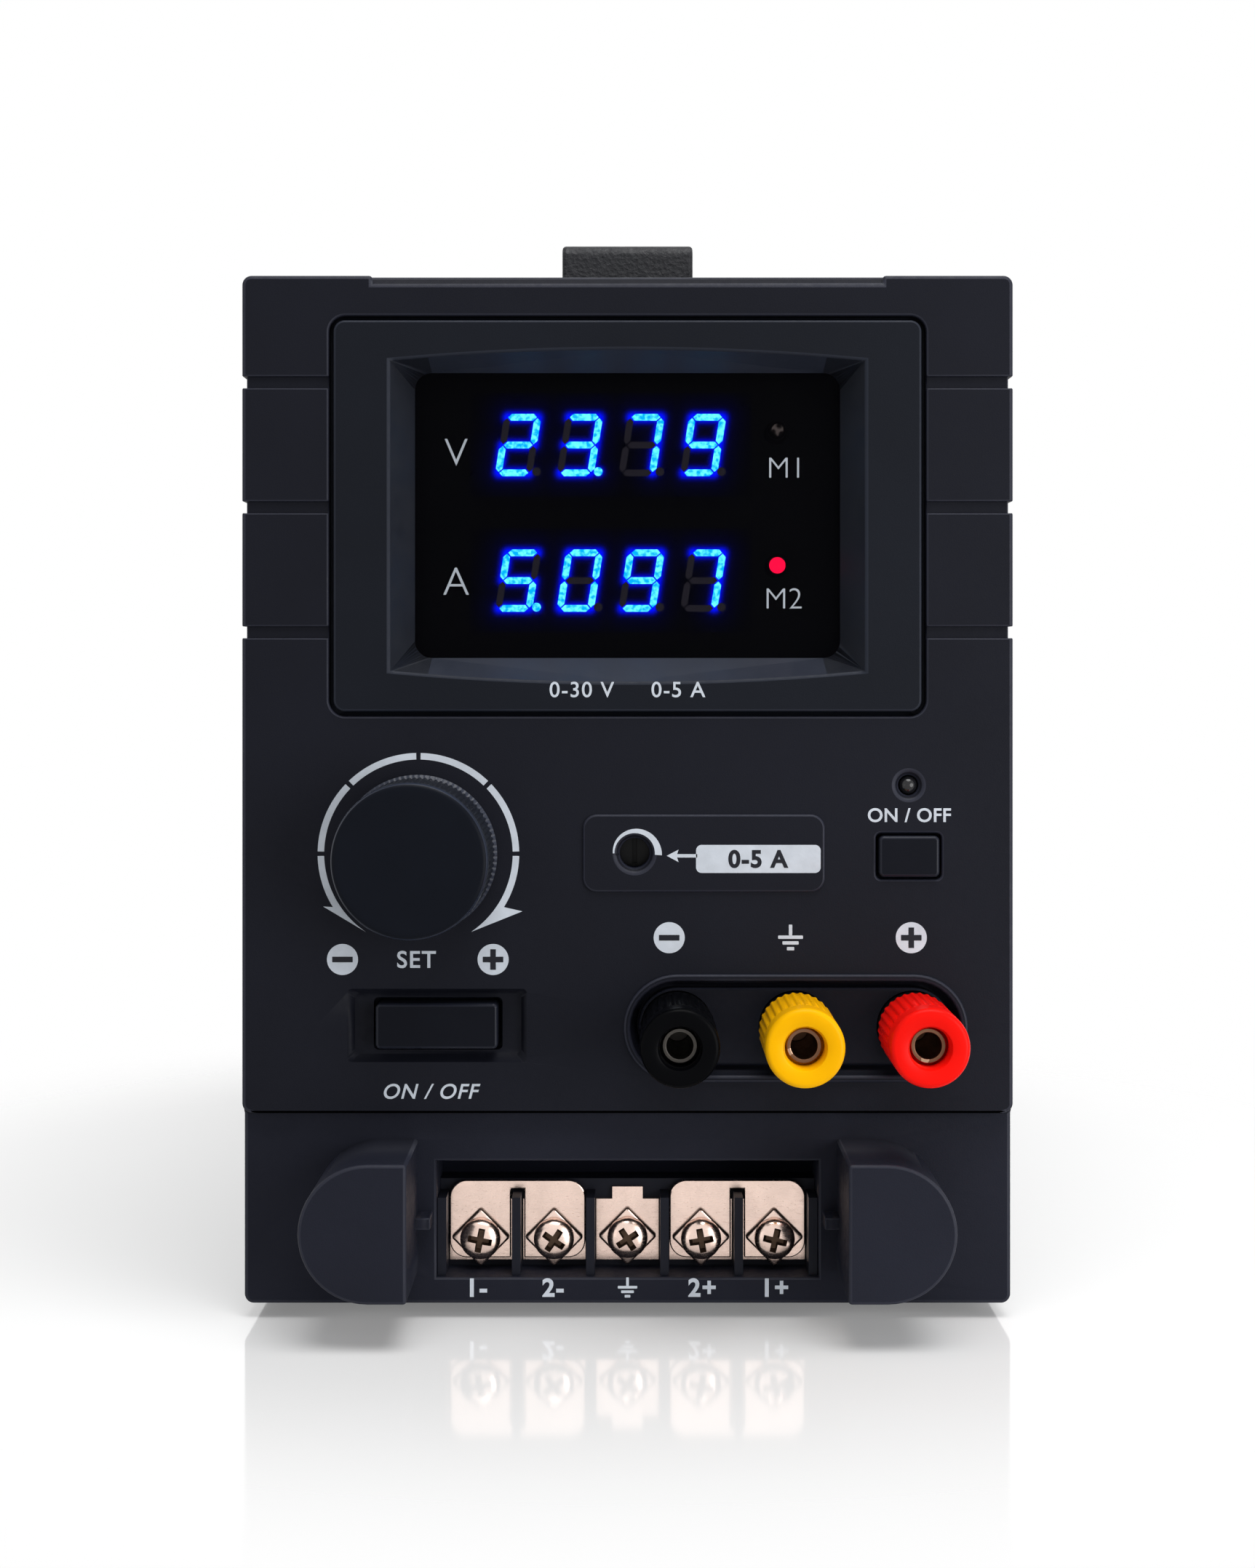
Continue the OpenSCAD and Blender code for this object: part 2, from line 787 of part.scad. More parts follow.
module adjust_knob() {
    h = knob_reach - knob_gap;
    rb = knob_base_d / 2;
    rf = knob_front_d / 2;
    color("#1b1d22") difference() {
        face(-knob_x, knob_z, knob_gap) rotate_extrude()
            polygon([[0, 0], [rb, 0], [rf, h - knob_chamfer], [rf - knob_chamfer, h], [0, h]]);
        rod(-knob_x, knob_z, knob_skirt_d, knob_gap - over, knob_gap + knob_skirt_h);
        rod(-knob_x, knob_z, shaft_d + 2 * seat_fit, knob_gap, bore_end + seat_fit);
    }
}

trimmer_top = control_front + trimmer_d;
trimmer_seat = trimmer_top - trimmer_rotor_t - 2 * run_fit;

module trimmer_body() {
    color("#2450a8") difference() {
        slab(trimmer_x, adjust_z, trimmer_side, trimmer_side, slot_r, control_front, trimmer_top);
        rod(trimmer_x, adjust_z, trimmer_rotor_d + 2 * run_fit, trimmer_seat, trimmer_top + over);
    }
}

module trimmer_rotor() {
    slot_w = 0.8;
    slot_l = 0.8 * trimmer_rotor_d;
    low = trimmer_seat + run_fit;
    color("#d8d2c0") difference() {
        rod(trimmer_x, adjust_z, trimmer_rotor_d, low, low + trimmer_rotor_t);
        block(trimmer_x - slot_w / 2, trimmer_x + slot_w / 2, low + trimmer_rotor_t / 2, trimmer_top + over,
            adjust_z - slot_l / 2, adjust_z + slot_l / 2);
    }
}

tact_top = control_front + tact_d;
tact_base = 1;
tact_floor = control_front + tact_base;
output_flange_high = panel_back - 2 * run_fit;
output_flange_low = output_flange_high - key_flange_t;
output_tip = tact_floor + output_travel + loose_fit;

module output_switch() {
    color("#303238") difference() {
        slab(output_x, output_z, tact_side, tact_side, slot_r, control_front, tact_top);
        rod(output_x, output_z, tact_plunger_d + 4 * run_fit, tact_floor, tact_top + over);
    }
}

module output_button() {
    lap = key_gap + key_flange;
    color("#303238") {
        slab(output_x, output_z, output_w, output_h, slot_r, output_flange_low, output_proud);
        slab(output_x, output_z, output_w + 2 * lap, output_h + 2 * lap, slot_r,
            output_flange_low, output_flange_high);
        rod(output_x, output_z, tact_plunger_d, output_tip, output_flange_low + skin);
    }
}

module output_lamp() {
    color("#d9dadd") lamp(output_x, output_lamp_z, control_front, 0);
}

module power_switch() {
    w = stem_w + 2 * loose_fit;
    h = stem_h + 2 * loose_fit;
    color("#1c1d20") difference() {
        slab(-power_x, power_z, switch_w, switch_h, square_r, switch_front - switch_d, switch_front);
        block(-power_x - w / 2, -power_x + w / 2, switch_front - switch_slot_d, switch_front + over,
            power_z - h / 2, power_z + h / 2);
    }
}

module power_button() {
    rim = power_gap + power_rim;
    color("#2a2c31") {
        slab(-power_x, power_z, power_w, power_h, slot_r, power_flange_back, power_proud);
        slab(-power_x, power_z, power_w + 2 * rim, power_h + 2 * rim, slot_r,
            power_flange_back, power_flange_back + power_flange_t);
        slab(-power_x, power_z, stem_w, stem_h, slot_r, switch_front - stem_bite, power_flange_back + skin);
    }
}

// Binding posts

module post_insulators() {
    color("#17181b") for (x = posts) difference() {
        union() {
            rod(x, post_z, collar_d, field_floor, collar_out);
            rod(x, post_z, bush_d, field_back, field_floor + skin);
        }
        rod(x, post_z, stud_d + 2 * seat_fit, field_back - over, collar_out + over);
    }
}

module post_studs() {
    nut_low = field_back - stud_nut_t;
    color("#c9b06a") for (x = posts) {
        difference() {
            rod(x, post_z, stud_d, nut_low - stud_tail, stud_out);
            rod(x, post_z, socket_d, stud_out - socket_l, stud_out + over);
        }
        difference() {
            face(x, post_z, nut_low) cylinder(d = stud_nut_af / cos(30), h = stud_nut_t, $fn = 6);
            rod(x, post_z, stud_d + 2 * seat_fit, nut_low - over, field_back + over);
        }
    }
}

module post_washer(i) {
    color("#c4c6c8") difference() {
        rod(posts[i], post_z, post_washer_d, collar_out, cap_low);
        rod(posts[i], post_z, stud_d + 2 * run_fit, collar_out - over, cap_low + over);
    }
}

module post_cap(i, shade) {
    x = posts[i];
    r = cap_d / 2;
    edge = 0.6;
    color(shade) difference() {
        union() {
            face(x, post_z, cap_low) linear_extrude(post_reach - cap_ring_l - cap_low)
                ribbed(cap_d - 2 * cap_rib_inset, cap_ribs, cap_rib_deep);
            face(x, post_z, post_reach - cap_ring_l) rotate_extrude()
                polygon([[0, 0], [r, 0], [r, cap_ring_l - edge], [r - edge, cap_ring_l], [0, cap_ring_l]]);
        }
        rod(x, post_z, stud_d + 2 * run_fit, cap_low - over, post_reach + over);
        rod(x, post_z, cap_hole_d, stud_out - cap_step, post_reach + over);
    }
}

// Sense terminals

module sense_block() {
    color("#141518") difference() {
        union() {
            block(-sense_w / 2 + run_fit, sense_w / 2 - run_fit, sense_floor, block_face,
                sense_low + run_fit, link_top);
            for (i = [0 : terminals]) {
                x = sense_x(i) - sense_pitch / 2;
                block(x - fin_t / 2, x + fin_t / 2, block_face - skin, fin_out, sense_low + run_fit, fin_top);
            }
        }
        for (i = [0 : terminals - 1])
            rod(sense_x(i), sense_z, screw_hole_d, screw_hole_end, block_face + over);
    }
}

module sense_contacts() {
    color("#cfc8bd") for (i = [0 : terminals - 1]) difference() {
        union() {
            block(sense_x(i) - contact_w / 2, sense_x(i) + contact_w / 2, block_face, block_face + plate_t,
                contact_low, contact_high);
            block(sense_x(i) - tab_w / 2, sense_x(i) + tab_w / 2, block_face, block_face + plate_t,
                contact_low, tab_high);
        }
        rod(sense_x(i), sense_z, screw_hole_d, block_face - over, block_face + plate_t + over);
    }
}

module sense_links() {
    low = contact_low + link_lift;
    h = link_top - low;
    span = sense_pitch + contact_w;
    color("#cfc8bd") for (i = [0, middle_terminal + 1]) difference() {
        x = sense_x(i) + sense_pitch / 2;
        slab(x, low + h / 2, span, h, link_r, block_face + plate_t, block_face + 2 * plate_t);
        block(x - link_slot / 2, x + link_slot / 2, block_face, fin_out, low - over, fin_top + link_spare);
        for (j = [i, i + 1]) rod(sense_x(j), sense_z, screw_hole_d, block_face, fin_out);
    }
}

module clamp_washer(i) {
    low = clamp_low(i);
    color("#d6cfc4") difference() {
        face(sense_x(i), sense_z, low) rotate(45) linear_extrude(clamp_t)
            rounded(clamp_side, clamp_side, clamp_r);
        rod(sense_x(i), sense_z, screw_hole_d, low - over, low + clamp_t + over);
    }
}

module clamp_screw(i) {
    low = clamp_low(i) + clamp_t;
    r = sense_head_d / 2;
    h = sense_head_h;
    dome = h / 3;
    color("#d6cfc4") difference() {
        union() {
            rod(sense_x(i), sense_z, sense_shank_d, screw_tip, low + skin);
            face(sense_x(i), sense_z, low) rotate_extrude()
                polygon([[0, 0], [r, 0], [r, h - dome], [r - dome, h], [0, h]]);
        }
        face(sense_x(i), sense_z, low + h - cross_deep) for (a = [cross_turn, cross_turn + 90])
            rotate(a) translate([-cross_l / 2, -cross_w / 2, 0]) cube([cross_l, cross_w, cross_deep + over]);
    }
}

// Case

// Upright round post between two heights
module upright(x, out, d, z0, z1) {
    translate([x, face_y - out, base_z + z0]) cylinder(d = d, h = z1 - z0);
}

// Round pin across the case, from one distance to the right of the middle to another
module crosswise(out, z, d, x0, x1) {
    translate([x0, face_y - out, base_z + z]) rotate([0, 90, 0]) cylinder(d = d, h = x1 - x0);
}

vent_l = 26;
vent_h = 3;
vent_rows = 7;
vent_row_pitch = 8;
vent_columns = 3;
vent_column_pitch = 44;
vent_low = 84;
side_screw_d = 3;
side_screw_z = case_inset + flange_h / 2;
side_screw_end = 20;
side_screws = [case_front - side_screw_end, handle_mid, side_screw_end - body_d];

module cover_vents() {
    for (row = [0 : vent_rows - 1], column = [0 : vent_columns - 1]) {
        out = handle_mid + (column - (vent_columns - 1) / 2) * vent_column_pitch;
        translate([-case_half - over, face_y - out, base_z + vent_low + row * vent_row_pitch])
            rotate([90, 0, 90]) linear_extrude(2 * (case_half + over)) obround(vent_l - vent_h, vent_h);
    }
}

module side_screw_holes() {
    for (out = side_screws)
        crosswise(out, side_screw_z, side_screw_d + 2 * run_fit, -case_half - over, case_half + over);
}

module top_cover() {
    color("#27292d") difference() {
        union() {
            block(-case_half, case_half, -body_d, case_front, cover_top_in, case_top);
            for (side = [0, 1]) mirror([side, 0, 0])
                block(cover_in, case_half, -body_d, case_front, case_inset, case_top);
        }
        cover_vents();
        side_screw_holes();
    }
}

module bottom_chassis() {
    flange_top = case_inset + flange_h;
    post_dx = board_w / 2 - board_post_inset;
    post_dy = board_l / 2 - board_post_inset;
    color("#9da1a6") difference() {
        union() {
            block(-cover_in, cover_in, rear_inside, case_front, case_inset, floor_top);
            block(-cover_in, cover_in, case_front - chassis_t, case_front, case_inset, flange_top);
            for (side = [0, 1]) mirror([side, 0, 0])
                block(cover_in - chassis_t, cover_in, rear_inside, case_front, case_inset, flange_top);
            for (x = [-1, 1], y = [-1, 1])
                upright(x * post_dx, board_mid + y * post_dy, board_post_d, floor_top - skin, board_low);
        }
        side_screw_holes();
    }
}

module case_screws() {
    color("#3a3c40") for (side = [0, 1], out = side_screws) mirror([side, 0, 0]) {
        crosswise(out, side_screw_z, case_screw_d, case_half, case_half + case_screw_h);
        crosswise(out, side_screw_z, side_screw_d, cover_in - chassis_t, case_half + skin);
    }
}

module rubber_feet() {
    taper = 0.8;
    h = foot_h + case_inset;
    color("#191a1c") for (x = [-1, 1], out = [-foot_inset_y, foot_inset_y - body_d])
        translate([x * (body_w / 2 - foot_inset_x), face_y - out, 0])
            cylinder(d1 = foot_d - 2 * taper, d2 = foot_d, h = h);
}

// Handle

module handle_cap() {
    r = 2;
    pocket_w = strap_w + 2 * loose_fit;
    difference() {
        translate([-grip_cap_w / 2, face_y - cap_front + grip_cap_l / 2, base_z + case_top])
            rotate([90, 0, 90]) linear_extrude(grip_cap_w) intersection() {
                rounded(grip_cap_l, 2 * grip_cap_h, r);
                translate([-grip_cap_l / 2, 0]) square([grip_cap_l, grip_cap_h]);
            }
        block(-pocket_w / 2, pocket_w / 2, cap_front - grip_cap_l - over, strap_end + pocket_spare,
            strap_low - loose_fit, strap_high + loose_fit);
    }
}

// Mirrors the front end of the handle to its rear end
module both_ends() {
    children();
    translate([0, 2 * (face_y - handle_mid), 0]) mirror([0, 1, 0]) children();
}

module handle_caps() {
    color("#1d1e21") both_ends() handle_cap();
}

module strap_stretch() {
    slab(0, strap_low + strap_t / 2, strap_w, strap_t, square_r, handle_mid + grip_l / 2, strap_end);
}

module strap_front() {
    color("#1d1e21") strap_stretch();
}

module strap_rear() {
    color("#1d1e21") translate([0, 2 * (face_y - handle_mid), 0]) mirror([0, 1, 0]) strap_stretch();
}

module handle_grip() {
    r = 2;
    color("#1d1e21") slab(0, grip_low + grip_t / 2, grip_w, grip_t, r,
        handle_mid - grip_l / 2, handle_mid + grip_l / 2);
}

// Rear panel, fan and mains inlet

fan_corners = [for (x = [-1, 1], z = [-1, 1]) [fan_x + x * fan_pitch / 2, fan_z + z * fan_pitch / 2]];

module rear_panel() {
    color("#27292d") difference() {
        block(-cover_in, cover_in, -body_d, rear_inside, case_inset, cover_top_in);
        rod(fan_x, fan_z, fan_bore, -body_d - over, rear_inside + over);
        for (c = fan_corners) rod(c[0], c[1], fan_hole_d, -body_d - over, rear_inside + over);
        slab(-inlet_x, inlet_z, inlet_w + 2 * run_fit, inlet_h + 2 * run_fit, square_r,
            -body_d - over, rear_inside + over);
        for (row = [0 : vent_rows - 1])
            face(-inlet_x, vent_low + row * vent_row_pitch, -body_d - over)
                linear_extrude(chassis_t + 2 * over) obround(vent_l - vent_h, vent_h);
    }
}

rotor_set = 1.5;
rotor_gap = 0.8;
rotor_wall = 2;
rotor_ring = 4;
tube_gap = 0.5;
rotor_back = rear_inside + rotor_set;
rotor_front = fan_front - fan_base_t - rotor_gap;
fan_tube_back = rotor_back + rotor_wall + tube_gap;

module fan_frame() {
    strut_w = 3;
    strut_inset = 0.4;
    frame_r = 4;
    color("#1a1b1d") difference() {
        union() {
            difference() {
                slab(fan_x, fan_z, fan_side, fan_side, frame_r, rear_inside, fan_front);
                rod(fan_x, fan_z, fan_bore, rear_inside - over, fan_front + over);
            }
            rod(fan_x, fan_z, fan_hub_d, fan_front - fan_base_t, fan_front);
            rod(fan_x, fan_z, fan_post_d, fan_tube_back, fan_front - skin);
            for (a = [45, 135]) face(fan_x, fan_z, fan_front - fan_base_t + strut_inset) rotate(a)
                translate([-fan_bore / 2 - over, -strut_w / 2, 0])
                    cube([fan_bore + 2 * over, strut_w, fan_base_t - 2 * strut_inset]);
        }
        rod(fan_x, fan_z, fan_shaft_d + 2 * run_fit, fan_tube_back - over, fan_front + over);
        for (c = fan_corners) rod(c[0], c[1], fan_hole_d, rear_inside - over, fan_front + over);
    }
}

module fan_rotor() {
    pitch = 35;
    chord = 11;
    blade_t = 1.4;
    blade_l = (fan_bore - fan_hub_d) / 2 - fan_tip + over;
    mid = (rotor_back + rotor_front) / 2;
    cavity_d = fan_post_d + 2 * rotor_ring;
    color("#232427") {
        difference() {
            rod(fan_x, fan_z, fan_hub_d, rotor_back, rotor_front);
            rod(fan_x, fan_z, cavity_d, rotor_back + rotor_wall, rotor_front + over);
        }
        rod(fan_x, fan_z, fan_shaft_d, rotor_back, fan_front - fan_base_t);
        for (i = [0 : fan_blades - 1]) face(fan_x, fan_z, mid) rotate(i * 360 / fan_blades)
            translate([fan_hub_d / 2 - over, 0, 0]) rotate([pitch, 0, 0])
                translate([0, -chord / 2, -blade_t / 2]) cube([blade_l, chord, blade_t]);
    }
}

module fan_guard() {
    spoke_out = -body_d - guard_wire / 2;
    ring_out = -body_d - 1.3 * guard_wire;
    spoke_d = 0.9 * guard_wire;
    shank_l = 8;
    color("#b9bcc0") {
        for (k = [1 : guard_rings]) face(fan_x, fan_z, ring_out)
            rotate_extrude() translate([k * guard_ring_pitch, 0]) circle(d = guard_wire);
        for (a = [45, 135]) face(fan_x, fan_z, spoke_out) rotate(a)
            translate([-fan_pitch / sqrt(2), 0, 0]) rotate([0, 90, 0])
                cylinder(d = spoke_d, h = fan_pitch * sqrt(2));
        for (c = fan_corners) {
            rod(c[0], c[1], guard_eye_d, -body_d - guard_wire, -body_d);
            rod(c[0], c[1], guard_head_d, -body_d - rear_reach, -body_d - guard_wire + skin);
            rod(c[0], c[1], fan_screw_d, -body_d - skin, rear_inside + shank_l);
        }
    }
}

inlet_mouth = -body_d - inlet_flange_t;
inlet_back = inlet_deep - body_d;
inlet_seat = inlet_back - inlet_floor;

module mains_inlet() {
    color("#141517") difference() {
        union() {
            slab(-inlet_x, inlet_z, inlet_w + 2 * inlet_flange, inlet_h + 2 * inlet_flange, inlet_flange,
                inlet_mouth, -body_d);
            slab(-inlet_x, inlet_z, inlet_w, inlet_h, square_r, -body_d - skin, inlet_back);
        }
        slab(-inlet_x, inlet_z, inlet_w - 2 * inlet_wall, inlet_h - 2 * inlet_wall, square_r,
            inlet_mouth - over, inlet_seat);
    }
}

module inlet_pins() {
    drop = 2;
    color("#c9b06a") for (p = [[-1, -1], [1, -1], [0, 1]])
        slab(p[0] * inlet_pin_pitch / 2 - inlet_x, inlet_z + p[1] * drop, inlet_pin_t, inlet_pin_w,
            inlet_pin_r, inlet_mouth + inlet_pin_back, inlet_seat);
}

// Inside

module main_board() {
    color("#1e5a34")
        block(-board_w / 2, board_w / 2, board_front - board_l, board_front, board_low, board_high);
}

transformer_set = 22;
transformer_mid = board_mid - transformer_set;
transformer_w = 38;
transformer_l = 34;
transformer_h = 34;

module transformer() {
    core_l = 14;
    coil_w = 27;
    coil_lift = 3;
    color("#4a4a4e") {
        translate([0, face_y - transformer_mid, base_z + board_high]) {
            translate([-transformer_w / 2, -core_l / 2, 0]) cube([transformer_w, core_l, transformer_h]);
            translate([-coil_w / 2, -transformer_l / 2, 0])
                cube([coil_w, transformer_l, transformer_h - 2 * coil_lift]);
        }
    }
}

module heat_sinks() {
    color("#a9adb2") for (side = [0, 1]) mirror([side, 0, 0]) {
        low = board_mid - sink_l / 2;
        block(sink_x, sink_x + sink_t, low, low + sink_l, board_high, board_high + sink_h);
        for (i = [0 : sink_fins - 1]) {
            z = board_high + (i + 0.5) * sink_h / sink_fins;
            block(sink_x + sink_t - skin, sink_x + sink_fin_l, low, low + sink_l,
                z - sink_fin_t / 2, z + sink_fin_t / 2);
        }
    }
}

can_gap = 2;

module capacitors() {
    pitch = cap_can_d + can_gap;
    color("#23324d") for (x = [-1, 1], y = [0, 1])
        upright(x * pitch / 2, board_front - pitch * (y + 1), cap_can_d, board_high, board_high + cap_can_h);
}

// Insulated lead that runs level from one distance out to another and then down to the main board
module lead(x, z, start, turn) {
    low = min(start, turn);
    rod(x, z, wire_d, low, max(start, turn));
    face(x, z, turn) sphere(d = wire_d);
    upright(x, turn, wire_d, board_high, z);
}

module wiring() {
    tail = field_back - stud_nut_t - stud_tail;
    color("#8c2a2a") {
        for (x = posts) lead(x, post_z, tail, board_front - lead_inset);
        for (side = [-1, 1])
            lead(side * inlet_pin_pitch / 2 - inlet_x, inlet_z, inlet_back,
                board_front - board_l + lead_inset);
    }
}

front_panel();
display_bezel();
display_window();
display_board();
led_displays();
mode_lamps();
control_board();
encoder_body();
encoder_rotor();
encoder_shaft();
adjust_knob();
trimmer_body();
trimmer_rotor();
output_switch();
output_button();
output_lamp();
power_switch();
power_button();
post_insulators();
post_studs();
post_washer(0);  // post_washer_black
post_washer(1);  // post_washer_yellow
post_washer(2);  // post_washer_red
post_cap(0, "#17181b");  // post_cap_black
post_cap(1, "#f2b60e");  // post_cap_yellow
post_cap(2, "#d81f1f");  // post_cap_red
sense_block();
sense_contacts();
sense_links();
clamp_washer(0);  // clamp_washer_1
clamp_washer(1);  // clamp_washer_2
clamp_washer(2);  // clamp_washer_3
clamp_washer(3);  // clamp_washer_4
clamp_washer(4);  // clamp_washer_5
clamp_screw(0);  // clamp_screw_1
clamp_screw(1);  // clamp_screw_2
clamp_screw(2);  // clamp_screw_3
clamp_screw(3);  // clamp_screw_4
clamp_screw(4);  // clamp_screw_5
top_cover();
bottom_chassis();
rear_panel();
case_screws();
rubber_feet();
handle_caps();
strap_front();
handle_grip();
strap_rear();
fan_frame();
fan_rotor();
fan_guard();
mains_inlet();
inlet_pins();
main_board();
transformer();
heat_sinks();
capacitors();
wiring();
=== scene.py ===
"""Dresses the frame of a bench power supply: finishes, display, print, small parts and a studio.

Lengths are in metres. The front looks along -Y, and work on the front is drawn flat first:
X runs right, Y up from the foot of the front panel, and Z out of the panel's face.
"""

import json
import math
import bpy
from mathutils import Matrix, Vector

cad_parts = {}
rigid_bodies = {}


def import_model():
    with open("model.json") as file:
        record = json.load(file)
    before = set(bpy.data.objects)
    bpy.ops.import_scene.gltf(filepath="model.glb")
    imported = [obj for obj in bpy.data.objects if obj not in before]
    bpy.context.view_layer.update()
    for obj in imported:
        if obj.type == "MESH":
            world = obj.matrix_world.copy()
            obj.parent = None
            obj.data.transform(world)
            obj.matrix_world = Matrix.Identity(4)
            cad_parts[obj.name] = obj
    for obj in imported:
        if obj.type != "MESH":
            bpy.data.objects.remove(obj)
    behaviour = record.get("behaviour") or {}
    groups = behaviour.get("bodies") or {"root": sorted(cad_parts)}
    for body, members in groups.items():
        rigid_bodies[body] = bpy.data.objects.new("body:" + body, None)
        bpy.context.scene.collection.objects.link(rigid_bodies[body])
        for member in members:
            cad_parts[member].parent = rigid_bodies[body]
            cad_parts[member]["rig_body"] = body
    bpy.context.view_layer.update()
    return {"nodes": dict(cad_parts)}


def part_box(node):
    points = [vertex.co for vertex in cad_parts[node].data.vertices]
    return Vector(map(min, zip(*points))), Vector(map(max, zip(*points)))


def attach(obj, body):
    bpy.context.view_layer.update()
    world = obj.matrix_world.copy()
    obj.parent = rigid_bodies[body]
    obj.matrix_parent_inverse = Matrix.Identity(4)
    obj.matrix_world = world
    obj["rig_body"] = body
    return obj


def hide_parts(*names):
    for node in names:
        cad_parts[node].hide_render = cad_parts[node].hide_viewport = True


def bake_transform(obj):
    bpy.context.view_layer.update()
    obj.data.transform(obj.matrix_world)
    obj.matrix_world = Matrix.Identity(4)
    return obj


bl_info = {
    "name": "Bench Power Supply",
    "version": (1, 0, 0),
    "blender": (4, 5, 0),
    "location": "View3D > Sidebar > Supply",
    "description": "Finishes, lit display, printed legend and studio for a bench power supply",
    "category": "Object",
}

import bmesh
import bpy
from bpy.props import FloatProperty, FloatVectorProperty, IntProperty, PointerProperty, StringProperty
from mathutils import Matrix, Vector

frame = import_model()

MM = 0.001
BEZEL_PROUD = 0.6 * MM
FACE_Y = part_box("display_bezel")[0].y + BEZEL_PROUD
FOOT_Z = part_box("front_panel")[0].z
FRONT = Matrix.Translation((0, FACE_Y, FOOT_Z)) @ Matrix.Rotation(math.pi / 2, 4, "X")


def front_box(node):
    """A CAD node's box as seen from the front: lowest and highest corner, with Z out of the panel."""
    low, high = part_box(node)
    return (
        Vector((low.x, low.z - FOOT_Z, FACE_Y - high.y)),
        Vector((high.x, high.z - FOOT_Z, FACE_Y - low.y)),
    )


def front_middle(node):
    """The middle of a CAD node's box, as seen from the front."""
    low, high = front_box(node)
    return (low + high) / 2


def length(name, description, default, low=0.0, high=1.0):
    """A length property."""
    return FloatProperty(
        name=name, description=description, default=default, min=low, max=high, precision=5, unit="LENGTH"
    )


def shade(name, description, default):
    """A colour property."""
    return FloatVectorProperty(
        name=name, description=description, default=default, min=0.0, max=1.0, size=3, subtype="COLOR"
    )


def word(name, description, default):
    """A property for a short printed word."""
    return StringProperty(name=name, description=description, default=default)


def amount(name, description, default, low, high, unit="NONE"):
    """A property for a number, with a unit where one fits."""
    return FloatProperty(name=name, description=description, default=default, min=low, max=high, unit=unit)


class SupplyColours(bpy.types.PropertyGroup):
    """Colours of the finishes"""

    panel: shade("Panel", "Charcoal plastic of the front panel", (0.0072, 0.0079, 0.0128))
    bezel: shade("Bezel", "Charcoal plastic of the display bezel", (0.0064, 0.0078, 0.0122))
    key: shade("Keys", "Plastic of the power key and the output button", (0.0054, 0.0062, 0.01))
    knob: shade("Knob", "Satin plastic of the adjusting knob", (0.0042, 0.0052, 0.0085))
    ink: shade("Print", "Pale grey ink of the legend", (0.6, 0.65, 0.72))
    steel: shade("Case", "Powder coat of the cover and the rear panel", (0.0085, 0.0092, 0.0125))
    zinc: shade("Chassis", "Zinc-plated sheet of the chassis", (0.46, 0.48, 0.50))
    nickel: shade("Nickel", "Bright plate of screws, washers and links", (0.86, 0.66, 0.57))
    brass: shade("Brass", "Plated brass of the studs", (0.46, 0.29, 0.19))
    black: shade("Black", "Black moulded plastic", (0.0024, 0.0025, 0.003))
    cap_black: shade("Black cap", "Black plastic of the left post's cap", (0.0012, 0.0013, 0.0018))
    cap_yellow: shade("Yellow cap", "Yellow plastic of the middle post's cap", (1.0, 0.475, 0.0005))
    cap_red: shade("Red cap", "Red plastic of the right post's cap and the lit lamp", (0.95, 0.0075, 0.004))
    handle: shade("Handle", "Grained plastic of the strap handle", (0.012, 0.0126, 0.016))
    rubber: shade("Rubber", "Rubber of the feet", (0.0100, 0.0100, 0.0108))
    digit: shade("Digits", "Bright core of a lit segment", (0.0, 0.4, 1.0))
    halo: shade("Halo", "Glow round a lit segment", (0.0, 0.004, 0.9))
    lamp: shade("Lamp", "Lit red lamp", (1.0, 0.003, 0.045))
    board: shade("Boards", "Solder resist of the circuit boards", (0.012, 0.085, 0.035))
    smoke: shade("Window", "Smoked acrylic of the window", (0.0008, 0.0008, 0.0016))


class SupplySizes(bpy.types.PropertyGroup):
    """Sizes of the pieces that are drawn here"""

    panel_round: length("Panel edges", "Rounding of the panel's outer edges", 0.6 * MM)
    lug_round: length("Lug edges", "Rounding of the guard lugs", 0.5 * MM)
    field_round: length("Field edges", "Rounding of sunk and raised fields", 0.35 * MM)
    groove_round: length("Groove edges", "Rounding of grooves and holes", 0.22 * MM)
    print_t: length("Print", "Thickness of the printed ink", 0.03 * MM)
    digit_h: length("Digit height", "Height of a digit", 10.2 * MM)
    digit_w: length("Digit width", "Width of a digit between its upright segments", 5.0 * MM)
    digit_pitch: length("Digit pitch", "Distance between two digits", 10.1 * MM)
    segment_w: length("Segment", "Width of a segment", 1.1 * MM)
    digit_slant: amount("Slant", "Slant of the digits", math.radians(9.0), 0, 0.5, "ROTATION")
    dial_in: length("Dial inside", "Inner radius of the printed dial", 15.15 * MM)
    dial_out: length("Dial outside", "Outer radius of the printed dial", 16.2 * MM)
    sign_r: length("Signs", "Radius of the printed plus and minus discs", 2.5 * MM)
    knob_ribs: IntProperty(name="Knob ribs", description="Ribs round the knob", default=90, min=12, max=160)
    cap_ribs: IntProperty(name="Cap ribs", description="Ribs round a post's cap", default=30, min=12, max=60)


